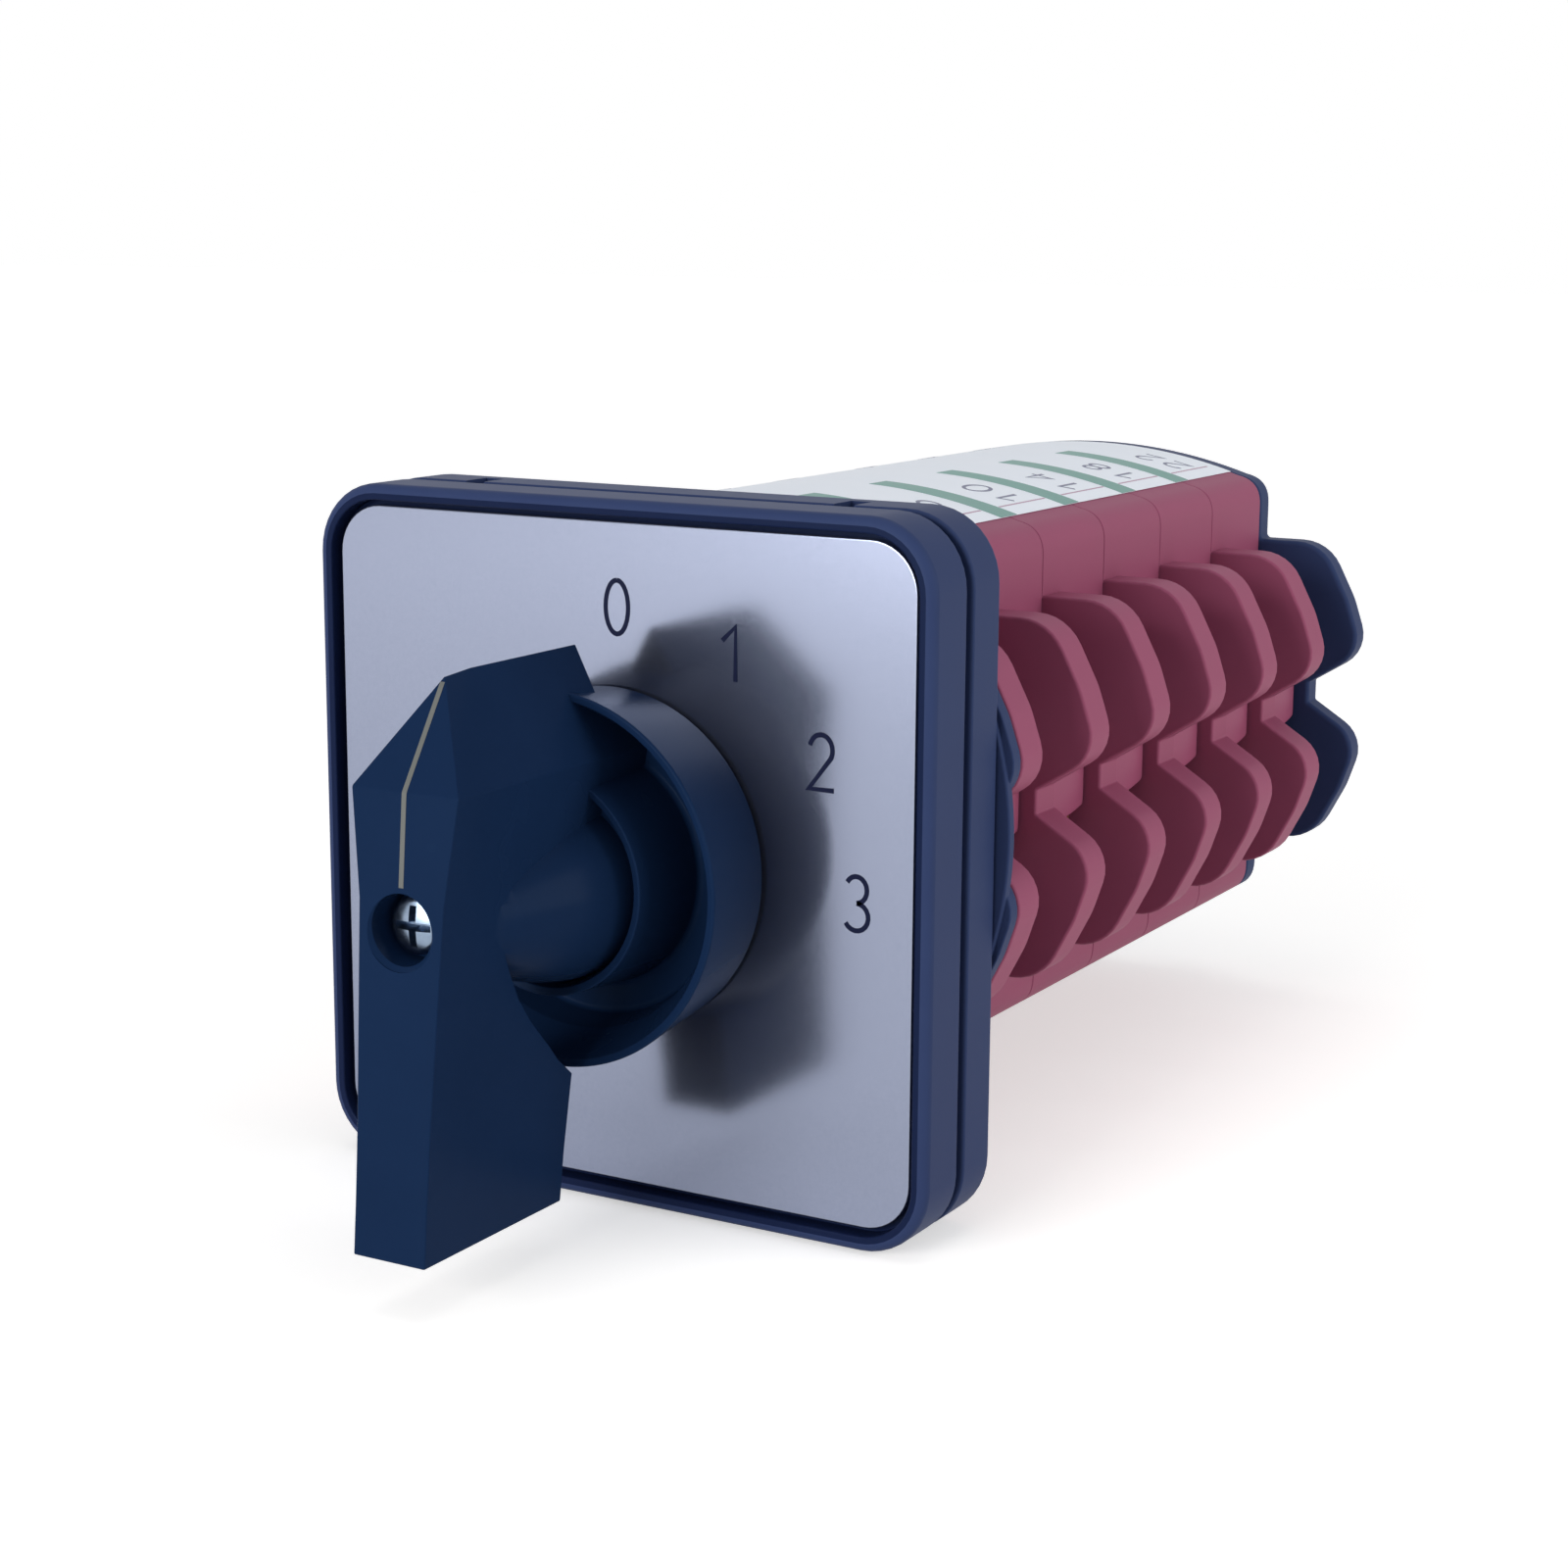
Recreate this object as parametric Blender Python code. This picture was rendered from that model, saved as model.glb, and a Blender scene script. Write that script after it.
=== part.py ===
"""Rotary changeover switch for panel mounting: four positions, six contact sections.

Frame: the origin is on the shaft's axis, on the rear face of the base plate, where the
panel sits. +X is right as seen from the handle, +Y runs into the switch, +Z is up.
All sizes are in metres. Outlines are drawn in XZ, as seen from the handle, and pushed
along Y. The handle turns about Y; the contact plungers slide along Z.
"""
import math

import bmesh
import bpy
from mathutils import Matrix, Vector

# Fits
SEAT_GAP = 0.0003          # between faces that rest on each other
RUN_GAP = 0.0004           # between a turning or sliding piece and its guide

# Front frame and base plate
FACE_SIDE = 0.0640
FACE_CORNER = 0.0065
FRAME_DEPTH = 0.0060
FRAME_GROOVE = 0.0012
FRAME_RIM = 0.0011
FRAME_LEDGE = 0.0009
LEDGE_DROP = 0.0004
FRAME_WALL = 0.0024
FRAME_WEB = 0.0015
SKIRT_INSET = 0.0010
CLIP_OFFSET = 0.0194
CLIP_WIDTH = 0.0014
CLIP_REACH = 0.0030
BASE_THICKNESS = 0.0051
BASE_FLOOR = 0.0015
CUP_RADIUS = 0.0180
CUP_WALL = 0.0020

# Legend plate
PLATE_RECESS = 0.0008
PLATE_THICKNESS = 0.0008
PLATE_EDGE_GAP = 0.0002

# Handle: a pointed bar on a round drum
GRIP_FRONT = 0.04275       # from the panel to the bar's front face, on the axis
GRIP_LEAN = 0.0864         # how far the front face leans out, per metre down
GRIP_KNEE_HEIGHT = 0.0111
GRIP_KNEE_HALF = 0.0053
GRIP_WAIST_HALF = 0.0042
GRIP_TAIL_HALF = 0.0036
GRIP_TAIL = 0.0272
NOSE_HEIGHT = 0.0200
NOSE_SLOPE = 0.65
NOSE_REAR = 0.0174
TAIL_REAR = 0.0245
DRUM_RADIUS = 0.0153
DRUM_FRONT = 0.0203
DISH_DEPTH = 0.0013
RIM_WIDTH = 0.0009
BOSS_RADIUS = 0.0093
HUB_RADIUS = 0.0070
SCREW_WELL_RADIUS = 0.0030
SCREW_WELL_DEPTH = 0.0036
POINTER_GROOVE_WIDTH = 0.0008
POINTER_GROOVE_DEPTH = 0.0005

# Shaft and handle screw
SHAFT_SIDE = 0.0060
SHAFT_FRONT = 0.0357
SHAFT_END_LENGTH = 0.0017
HANDLE_SCREW_HEAD_RADIUS = 0.00225
HANDLE_SCREW_HEAD_HEIGHT = 0.0017
HANDLE_SCREW_SHANK_RADIUS = 0.0014
HANDLE_SCREW_GRIP = 0.0080

# Detent: star wheel, leaf spring, stop finger
DETENT_STEP = 30.0         # degrees from one position to the next
POSITIONS = 4
STAR_RADIUS = 0.0100
STAR_WAVE = 0.0006
STAR_THICKNESS = 0.0040
LEAF_THICKNESS = 0.0005
LEAF_WIDTH = 0.0034
LEAF_BOW = 0.0036
LEAF_SPAN = 0.0122
FINGER_WIDTH = 0.0040
FINGER_LENGTH = 0.0140
FINGER_THICKNESS = 0.0016
POST_WIDTH = 0.0024

# Contact body: one moulded housing per section
SECTIONS = 6
SECTION_PITCH = 0.01463
BODY_RISE = 0.00295        # the body's middle lies above the shaft's axis
BODY_HALF_WIDTH = 0.0212
BODY_SIDE_HALF_HEIGHT = 0.0214
SHOULDER_SET_BACK = 0.0027
BODY_SHOULDER_Z = 0.0246
BODY_ARCH_TOP = 0.0276
BARRIER_THICKNESS = 0.0042
BARRIER_TOP = 0.01715
BARRIER_TOP_REACH = 0.00706  # how far its corners stand out from the body's side
BARRIER_TIP_REACH = 0.01328
BARRIER_TIP_Z = 0.00502
BARRIER_TIP_RADIUS = 0.0045
BARRIER_TOP_RADIUS = 0.0025
RIB_REACH = 0.0066
NOTCH_HALF = 0.00115
RIB_HALF = 0.0032
RIB_DRAFT = 0.0016
FRONT_WALL = 0.0020
SIDE_WALL = 0.0023

# Latch cover behind the panel
COVER_FLANGE = 0.0011
COVER_STEP = 0.0010
COVER_LIP = 0.0002          # how far the round flange stands past the barriers

# Cams and plungers
CAM_LOW = 0.0062
CAM_STROKE = 0.0026
CAM_OVERRUN = 8.0          # degrees of ramp past each end of the turn
CAM_WIDTH = 0.0070
CAM_HUB_RADIUS = 0.0056
PLUNGER_WIDTH = 0.0040
PLUNGER_NOSE = 0.0009
PLUNGER_TIP = 0.0008
BRIDGE_HALF = 0.0134
BRIDGE_THICKNESS = 0.0010
BRIDGE_WIDTH = 0.0060
PAD_INNER = 0.0102
PAD_LENGTH = 0.0030
PAD_HEIGHT = 0.0004
SPRING_RADIUS = 0.0027
SPRING_WIRE = 0.0003
SPRING_SEAT = 0.0216

# Terminals
STRIP_TIP = 0.0014          # bare end of the strip, past the saddle
TERMINAL_THICKNESS = 0.0012
TERMINAL_WIDTH = 0.0070
TERMINAL_INNER = 0.0096
SADDLE_WALL_GAP = 0.0008
TERMINAL_SCREW_HEAD_RADIUS = 0.0028
TERMINAL_SCREW_HEAD_HEIGHT = 0.0019
TERMINAL_SCREW_SHANK_RADIUS = 0.0015
TERMINAL_SCREW_DEPTH = 0.0026
SADDLE_SIDE = 0.0060
SADDLE_THICKNESS = 0.0010

# End plate, tie bolts, holes for the panel screws
END_THICKNESS = 0.0030
END_BOSS_RADIUS = 0.0080
END_BOSS_HEIGHT = 0.0020
BOLT_SET_BACK = 0.0072      # from the body's side in to the tie bolts
BOLT_Z = 0.0229
BOLT_RADIUS = 0.00165
BOLT_HEAD_RADIUS = 0.0029
BOLT_HEAD_HEIGHT = 0.0020
BOLT_TAIL = 0.0010
NUT_RADIUS = 0.0029
NUT_HEIGHT = 0.0024
MOUNT_SCREW_Z = 0.0085
MOUNT_SCREW_RADIUS = 0.0019
MOUNT_SCREW_HEAD_RADIUS = 0.0031
MOUNT_SCREW_SINK = 0.0026
MOUNT_SCREW_BITE = 0.0029

# Stations along X that follow the body's width
BODY_SHOULDER_X = BODY_HALF_WIDTH - SHOULDER_SET_BACK
BARRIER_TOP_CORNER_X = BODY_HALF_WIDTH + BARRIER_TOP_REACH
BARRIER_TIP_X = BODY_HALF_WIDTH + BARRIER_TIP_REACH
NOTCH_X = BODY_HALF_WIDTH + RIB_REACH
TERMINAL_SCREW_X = BODY_HALF_WIDTH + SADDLE_WALL_GAP + SADDLE_SIDE / 2
TERMINAL_REACH = TERMINAL_SCREW_X + SADDLE_SIDE / 2 + STRIP_TIP
MOUNT_SCREW_X = (BODY_HALF_WIDTH + FACE_SIDE / 2) / 2
BOLT_X = BODY_HALF_WIDTH - BOLT_SET_BACK

# Stations along Y that several pieces share
BASE_FRONT = -BASE_THICKNESS
FRAME_REAR = BASE_FRONT - FRAME_GROOVE
FRAME_FRONT = FRAME_REAR - FRAME_DEPTH
PLATE_FRONT = FRAME_FRONT + PLATE_RECESS
WEB_FRONT = PLATE_FRONT + PLATE_THICKNESS + SEAT_GAP
WEB_REAR = WEB_FRONT + FRAME_WEB
CUP_FRONT = WEB_REAR + SEAT_GAP
FLOOR_FRONT = -BASE_FLOOR
STAR_FRONT = WEB_REAR + 3.0 * SEAT_GAP
STAR_REAR = STAR_FRONT + STAR_THICKNESS
DRUM_REAR = PLATE_FRONT - RUN_GAP
COVER_FRONT = SEAT_GAP
COVER_REAR = COVER_FRONT + COVER_FLANGE + COVER_STEP
BODY_FRONT = COVER_REAR + SEAT_GAP
END_FRONT = BODY_FRONT + SECTIONS * SECTION_PITCH
END_REAR = END_FRONT + END_THICKNESS
SECTION_DEPTH = SECTION_PITCH - SEAT_GAP

# Heights and radii that the section pieces share
TURN = math.radians(DETENT_STEP * (POSITIONS - 1))
CAM_RATE = CAM_STROKE / TURN
CAM_EXTRA = CAM_RATE * math.radians(CAM_OVERRUN)
CAM_CHAMBER = CAM_LOW + CAM_STROKE + CAM_EXTRA + RUN_GAP
GUIDE_TOP = CAM_CHAMBER + 0.0012
STRIP_TOP = GUIDE_TOP + SEAT_GAP + TERMINAL_THICKNESS
BRIDGE_CLOSED = STRIP_TOP + PAD_HEIGHT + SEAT_GAP + PAD_HEIGHT
CHAMBER_TOP = BRIDGE_CLOSED + BRIDGE_THICKNESS + CAM_STROKE + SEAT_GAP
POCKET_MIDDLE = (BARRIER_THICKNESS + SECTION_PITCH) / 2.0
CHAMBER_HALF = BODY_HALF_WIDTH - SIDE_WALL
LEG_OUTER = CHAMBER_HALF - SEAT_GAP
HOLE_GAP = SEAT_GAP


def clear_scene():
    for item in list(bpy.data.objects):
        bpy.data.objects.remove(item, do_unlink=True)


def material(name, colour, roughness, metallic=0.0):
    """A Principled material in one plain colour."""
    mat = bpy.data.materials.new(name)
    mat.use_nodes = True
    shader = mat.node_tree.nodes["Principled BSDF"]
    shader.inputs["Base Color"].default_value = (*colour, 1.0)
    shader.inputs["Roughness"].default_value = roughness
    shader.inputs["Metallic"].default_value = metallic
    mat.diffuse_color = (*colour, 1.0)
    return mat


def fillet(corners, steps=4):
    """Outline through (x, z, radius) corners, each rounded by an arc that touches both edges."""
    points = []
    count = len(corners)
    for i, (x, z, radius) in enumerate(corners):
        here = Vector((x, z))
        if radius <= 0.0:
            points.append((x, z))
            continue
        to_last = (Vector(corners[i - 1][:2]) - here).normalized()
        to_next = (Vector(corners[(i + 1) % count][:2]) - here).normalized()
        half = to_last.angle(to_next) / 2.0
        centre = here + (to_last + to_next).normalized() * (radius / math.sin(half))
        start = here + to_last * (radius / math.tan(half)) - centre
        end = here + to_next * (radius / math.tan(half)) - centre
        turn = math.atan2(start.x * end.y - start.y * end.x, start.dot(end))
        for step in range(steps + 1):
            angle = turn * step / steps
            points.append((centre.x + start.x * math.cos(angle) - start.y * math.sin(angle),
                           centre.y + start.x * math.sin(angle) + start.y * math.cos(angle)))
    return points


def rounded_square(half, radius, steps=4):
    corners = [(-half, -half, radius), (half, -half, radius), (half, half, radius), (-half, half, radius)]
    return fillet(corners, steps)


def box_outline(x0, x1, z0, z1):
    return [(x0, z0), (x1, z0), (x1, z1), (x0, z1)]


def circle(radius, sides, x=0.0, z=0.0, turn=0.0):
    return [(x + radius * math.cos(turn + 2 * math.pi * i / sides),
             z + radius * math.sin(turn + 2 * math.pi * i / sides)) for i in range(sides)]


def mirrored(outline):
    """The same outline on the other side of the axis, still running the same way round."""
    return [(-x, z) for x, z in reversed(outline)]


def loft(front, rear, y_front, y_rear):
    """Closed solid between two XZ outlines with the same number of points."""
    bm = bmesh.new()
    near = [bm.verts.new((x, y_front, z)) for x, z in front]
    far = [bm.verts.new((x, y_rear, z)) for x, z in rear]
    bm.faces.new(near)
    bm.faces.new(list(reversed(far)))
    for i in range(len(near)):
        j = (i + 1) % len(near)
        bm.faces.new((near[j], near[i], far[i], far[j]))
    bmesh.ops.recalc_face_normals(bm, faces=bm.faces)
    return bm


def prism(outline, y_front, y_rear):
    return loft(outline, outline, y_front, y_rear)


def side_prism(profile, half_width):
    """Closed solid of a (y, z) profile, pushed along X to both sides of the middle."""
    bm = prism(profile, -half_width, half_width)
    swap = Matrix(((0, 1, 0, 0), (1, 0, 0, 0), (0, 0, 1, 0), (0, 0, 0, 1)))
    bmesh.ops.transform(bm, matrix=swap, verts=bm.verts)
    bmesh.ops.recalc_face_normals(bm, faces=bm.faces)
    return bm


def revolve(profile, sides):
    """Closed solid of (radius, y) points turned about Y; the first and last lie on the axis."""
    bm = bmesh.new()
    rings = []
    for radius, y in profile:
        if radius <= 0.0:
            rings.append([bm.verts.new((0.0, y, 0.0))])
        else:
            rings.append([bm.verts.new((x, y, z)) for x, z in circle(radius, sides)])
    for ring, after in zip(rings, rings[1:]):
        for i in range(sides):
            j = (i + 1) % sides
            if len(ring) == 1:
                bm.faces.new((ring[0], after[i], after[j]))
            elif len(after) == 1:
                bm.faces.new((ring[i], ring[j], after[0]))
            else:
                bm.faces.new((ring[i], ring[j], after[j], after[i]))
    bmesh.ops.recalc_face_normals(bm, faces=bm.faces)
    return bm


def moved(bm, x=0.0, y=0.0, z=0.0):
    bmesh.ops.translate(bm, vec=(x, y, z), verts=bm.verts)
    return bm


def stand_up(bm, sign):
    """Turn a solid made along Y so that it runs along Z: its rear end goes down (sign 1) or up (-1)."""
    bmesh.ops.rotate(bm, verts=bm.verts, cent=(0, 0, 0), matrix=Matrix.Rotation(-sign * math.pi / 2, 3, "X"))
    return bm


def put(name, bm, mat=None):
    """Link a solid into the scene as an object of this name."""
    mesh = bpy.data.meshes.new(name)
    bm.to_mesh(mesh)
    bm.free()
    item = bpy.data.objects.new(name, mesh)
    bpy.context.scene.collection.objects.link(item)
    if mat is not None:
        mesh.materials.append(mat)
    return item


def combine(target, solids, operation="DIFFERENCE"):
    """Cut solids out of the target, or join them to it, one Boolean after another."""
    for bm in solids:
        tool = put("tool", bm)
        tool.hide_render = True
        tool.display_type = "WIRE"
        step = target.modifiers.new(operation.title(), "BOOLEAN")
        step.operation = operation
        step.solver = "EXACT"
        step.object = tool
        bpy.context.view_layer.update()
        graph = bpy.context.evaluated_depsgraph_get()
        mesh = bpy.data.meshes.new_from_object(target.evaluated_get(graph))
        target.modifiers.clear()
        target.data = mesh
        bpy.data.objects.remove(tool, do_unlink=True)
    return target


def finish(item):
    """Round forms shade smooth, and edges over 35 degrees stay sharp."""
    item.data.shade_smooth()
    item.data.set_sharp_from_angle(angle=math.radians(35))
    return item


def screw_solid(head_radius, head_height, shank_radius, length):
    """Cross-head screw along Y with its head towards -Y and the head's seat at y = 0."""
    profile = [(0, -head_height), (head_radius * 0.72, -head_height), (head_radius, -head_height * 0.55),
               (head_radius, 0), (shank_radius, 0), (shank_radius, length), (0, length)]
    item = put("screw", revolve(profile, 12))
    arm = head_radius * 0.62
    bar = head_radius * 0.15
    depth = -head_height * 0.45
    plus = [(bar, -arm), (bar, -bar), (arm, -bar), (arm, bar), (bar, bar), (bar, arm),
            (-bar, arm), (-bar, bar), (-arm, bar), (-arm, -bar), (-bar, -bar), (-bar, -arm)]
    return combine(item, [prism(plus, -2 * head_height, depth)])


def body_quarter():
    """Upper right quarter of the section body: arched top, round shoulder, upright side."""
    sag = BODY_ARCH_TOP - BODY_SHOULDER_Z
    radius = (BODY_SHOULDER_X ** 2 + sag ** 2) / (2 * sag)
    points = []
    for step in range(5):
        angle = math.asin(BODY_SHOULDER_X / radius) * step / 4
        points.append((radius * math.sin(angle), BODY_ARCH_TOP - radius * (1 - math.cos(angle))))
    side, shoulder = Vector((BODY_HALF_WIDTH, BODY_SIDE_HALF_HEIGHT)), Vector(points[-1])
    bend = Vector((BODY_HALF_WIDTH, BODY_SHOULDER_Z - 0.15 * (BODY_SHOULDER_Z - BODY_SIDE_HALF_HEIGHT)))
    for t in (0.33, 0.67, 1.0):
        points.append(tuple((1 - t) ** 2 * shoulder + 2 * t * (1 - t) * bend + t * t * side))
    return points


def barrier_wing(root=BODY_HALF_WIDTH):
    """Right-hand barrier from its upper root to its lower one: two lobes with a notch between."""
    half = [(root, BARRIER_TOP, 0.0), (BARRIER_TOP_CORNER_X, BARRIER_TOP, BARRIER_TOP_RADIUS),
            (BARRIER_TIP_X, BARRIER_TIP_Z, BARRIER_TIP_RADIUS), (NOTCH_X, NOTCH_HALF, 0.0)]
    return fillet(half + [(x, -z, radius) for x, z, radius in reversed(half)], 3)


def section_outline(wing):
    """Whole outline of a section: arched body with a wing, given from top to bottom, on each side."""
    quarter = body_quarter()
    right = quarter + wing + [(x, -z) for x, z in reversed(quarter)]
    left = [(-x, z) for x, z in reversed(right[1:-1])]
    return [(x, z + BODY_RISE) for x, z in reversed(right + left)]


def rib_profile(shrink):
    """Outer edge of the rib between upper and lower terminal, flared like the notch, bottom to top."""
    slope = (BARRIER_TIP_X - NOTCH_X) / (BARRIER_TIP_Z - NOTCH_HALF)
    reach = RIB_HALF + SIDE_WALL
    lip = NOTCH_X + slope * (reach - NOTCH_HALF) - shrink
    groove = NOTCH_X - shrink
    far = BARRIER_TIP_X + reach
    points = [(lip, -reach), (far, -reach), (far, reach), (lip, reach), (groove, NOTCH_HALF),
              (groove, -NOTCH_HALF)]
    return [(x, z + BODY_RISE) for x, z in points]


def bolt_places():
    """The two tie bolts stand in opposite corners of the body."""
    return [(-BOLT_X, BODY_RISE + BOLT_Z), (BOLT_X, BODY_RISE - BOLT_Z)]


def mount_screw_places():
    return [(sx * MOUNT_SCREW_X, BODY_RISE + sz * MOUNT_SCREW_Z) for sx in (-1, 1) for sz in (-1, 1)]


def holes(places, radius, y_front, y_rear, sides=10):
    return [prism(circle(radius, sides, x, z), y_front, y_rear) for x, z in places]


def make_front_frame(mat):
    """Square frame: rim, ledge, pocket for the legend plate, web behind it, clips to the base."""
    half = FACE_SIDE / 2
    item = put("front_frame", prism(rounded_square(half, FACE_CORNER), FRAME_FRONT, FRAME_REAR), mat)
    skirt_half = half - SKIRT_INSET
    skirt = prism(rounded_square(skirt_half, FACE_CORNER - SKIRT_INSET), FRAME_REAR - FRAME_WEB,
                  BASE_FRONT - SEAT_GAP)
    clips = []
    for sx in (-1, 1):
        for z0, z1 in ((half - FRAME_WALL, skirt_half), (-skirt_half, FRAME_WALL - half)):
            middle, half_clip = sx * CLIP_OFFSET, CLIP_WIDTH / 2
            outline = box_outline(middle - half_clip, middle + half_clip, z0, z1)
            clips.append(prism(outline, FRAME_REAR - FRAME_WEB, BASE_FRONT + CLIP_REACH))
    combine(item, [skirt], "UNION")
    inner = half - FRAME_WALL
    rim_half = half - FRAME_RIM
    pocket_half = rim_half - FRAME_LEDGE
    cuts = [prism(rounded_square(inner, FACE_CORNER - FRAME_WALL), WEB_REAR, 0.0),
            prism(rounded_square(rim_half, FACE_CORNER - FRAME_RIM), FRAME_FRONT - FRAME_RIM,
                  FRAME_FRONT + LEDGE_DROP),
            prism(rounded_square(pocket_half, FACE_CORNER - FRAME_RIM - FRAME_LEDGE),
                  FRAME_FRONT - FRAME_RIM, WEB_FRONT),
            prism(circle(HUB_RADIUS + 2 * RUN_GAP, 24), FRAME_FRONT, 0.0)]
    combine(item, cuts)
    combine(item, clips, "UNION")
    return finish(item)


def make_legend_plate(mat):
    half = FACE_SIDE / 2 - FRAME_RIM - FRAME_LEDGE - PLATE_EDGE_GAP
    corner = FACE_CORNER - FRAME_RIM - FRAME_LEDGE - PLATE_EDGE_GAP
    item = put("legend_plate", prism(rounded_square(half, corner), PLATE_FRONT,
                                     PLATE_FRONT + PLATE_THICKNESS), mat)
    combine(item, [prism(circle(HUB_RADIUS + 2 * RUN_GAP, 24), FRAME_FRONT - FRAME_RIM, 0.0)])
    return finish(item)


def make_base_plate(mat):
    """Square base with the detent cup, clip notches, screw seats and room for the bolt heads."""
    half = FACE_SIDE / 2
    item = put("base_plate", prism(rounded_square(half, FACE_CORNER), BASE_FRONT, 0.0), mat)
    combine(item, [prism(circle(CUP_RADIUS + CUP_WALL, 28), CUP_FRONT, FLOOR_FRONT)], "UNION")
    notches = []
    play = CLIP_WIDTH / 2 + SEAT_GAP
    for sx in (-1, 1):
        for z0, z1 in ((half - FRAME_WALL - SEAT_GAP, half + FRAME_RIM),
                       (-half - FRAME_RIM, FRAME_WALL + SEAT_GAP - half)):
            outline = box_outline(sx * CLIP_OFFSET - play, sx * CLIP_OFFSET + play, z0, z1)
            notches.append(prism(outline, BASE_FRONT - FRAME_RIM, BASE_FRONT + CLIP_REACH + SEAT_GAP))
    seat = BASE_FRONT + MOUNT_SCREW_SINK
    cuts = [prism(circle(CUP_RADIUS, 28), CUP_FRONT - CUP_WALL, FLOOR_FRONT),
            prism(circle(CAM_HUB_RADIUS + RUN_GAP, 16), CUP_FRONT, BASE_FLOOR)]
    cuts += holes(mount_screw_places(), MOUNT_SCREW_HEAD_RADIUS + RUN_GAP, CUP_FRONT, seat, 12)
    cuts += holes(mount_screw_places(), MOUNT_SCREW_RADIUS + HOLE_GAP, BASE_FRONT, BASE_FLOOR)
    cuts += holes(bolt_places(), BOLT_HEAD_RADIUS + RUN_GAP, -BOLT_HEAD_HEIGHT - SEAT_GAP, BASE_FLOOR, 12)
    combine(item, cuts + notches)
    grow = CUP_RADIUS / 1000
    posts = []
    leaf_end = LEAF_SPAN - LEAF_THICKNESS / 2 - SEAT_GAP
    for sz in (-1, 1):
        z0, z1 = sorted((sz * (LEAF_SPAN - POST_WIDTH / 2), sz * (LEAF_SPAN + POST_WIDTH / 2)))
        outline = box_outline(leaf_end - POST_WIDTH / 2, leaf_end, z0, z1)
        posts.append(prism(outline, leaf_front(), FLOOR_FRONT + grow))
    stop = FINGER_WIDTH / 2 + SEAT_GAP
    span = sorted((-FINGER_LENGTH + SEAT_GAP, -FINGER_LENGTH + FINGER_WIDTH))
    posts.append(prism(box_outline(stop, stop + POST_WIDTH, *span), STAR_REAR + SEAT_GAP, FLOOR_FRONT + grow))
    posts.append(prism(box_outline(*span, stop, stop + POST_WIDTH), STAR_REAR + SEAT_GAP, FLOOR_FRONT + grow))
    combine(item, posts, "UNION")
    return finish(item)


def leaf_front():
    """The leaf spring runs in the middle of the star wheel's rim."""
    return STAR_FRONT + (STAR_THICKNESS - LEAF_WIDTH) / 2


def make_star_wheel(mat):
    """Twelve-lobed wheel with a stop finger behind it and a round hub through the base."""
    lobes = round(360 / DETENT_STEP)
    points = []
    for i in range(lobes * 4):
        angle = 2 * math.pi * i / (lobes * 4)
        radius = STAR_RADIUS - STAR_WAVE * math.cos(lobes * angle)
        points.append((radius * math.cos(angle), radius * math.sin(angle)))
    item = put("star_wheel", prism(points, STAR_FRONT, STAR_REAR), mat)
    hub = prism(circle(CAM_HUB_RADIUS, 16), STAR_FRONT + STAR_THICKNESS / 2, COVER_REAR + SEAT_GAP / 2)
    finger = prism(box_outline(-FINGER_WIDTH / 2, FINGER_WIDTH / 2, -FINGER_LENGTH, 0.0),
                   STAR_REAR - STAR_THICKNESS / 4, STAR_REAR + SEAT_GAP + FINGER_THICKNESS)
    combine(item, [hub, finger], "UNION")
    combine(item, [square_socket(STAR_FRONT - RUN_GAP, COVER_REAR + RUN_GAP)])
    return finish(item)


def square_socket(y_front, y_rear):
    half = SHAFT_SIDE / 2 + HOLE_GAP
    return prism(box_outline(-half, half, -half, half), y_front, y_rear)


def make_detent_spring(mat):
    """Bowed leaf spring whose nose lies in a valley of the star wheel."""
    nose = STAR_RADIUS - STAR_WAVE + SEAT_GAP
    centre = [(LEAF_SPAN, -LEAF_SPAN), (nose + LEAF_BOW, -LEAF_SPAN / 2), (nose, -STAR_WAVE),
              (nose, STAR_WAVE), (nose + LEAF_BOW, LEAF_SPAN / 2), (LEAF_SPAN, LEAF_SPAN)]
    leaf = centre + [(x + LEAF_THICKNESS, z) for x, z in reversed(centre)]
    return finish(put("detent_spring", prism(leaf, leaf_front(), leaf_front() + LEAF_WIDTH), mat))


def grip_front(z):
    """Y of the bar's front surface on its middle line: a leaning face, then the sloped nose."""
    knee = -GRIP_FRONT + GRIP_LEAN * GRIP_KNEE_HEIGHT
    if z <= GRIP_KNEE_HEIGHT:
        return -GRIP_FRONT + GRIP_LEAN * z
    return knee + NOSE_SLOPE * (z - GRIP_KNEE_HEIGHT)


def cut_plane(item, point, normal):
    """Take off what lies past a plane and close the solid there."""
    bm = bmesh.new()
    bm.from_mesh(item.data)
    parts = bm.verts[:] + bm.edges[:] + bm.faces[:]
    cut = bmesh.ops.bisect_plane(bm, geom=parts, plane_co=point, plane_no=normal, clear_outer=True, dist=1e-7)
    edges = [e for e in cut["geom_cut"] if isinstance(e, bmesh.types.BMEdge)]
    bmesh.ops.holes_fill(bm, edges=edges, sides=0)
    bmesh.ops.recalc_face_normals(bm, faces=bm.faces)
    bm.to_mesh(item.data)
    bm.free()


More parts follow.
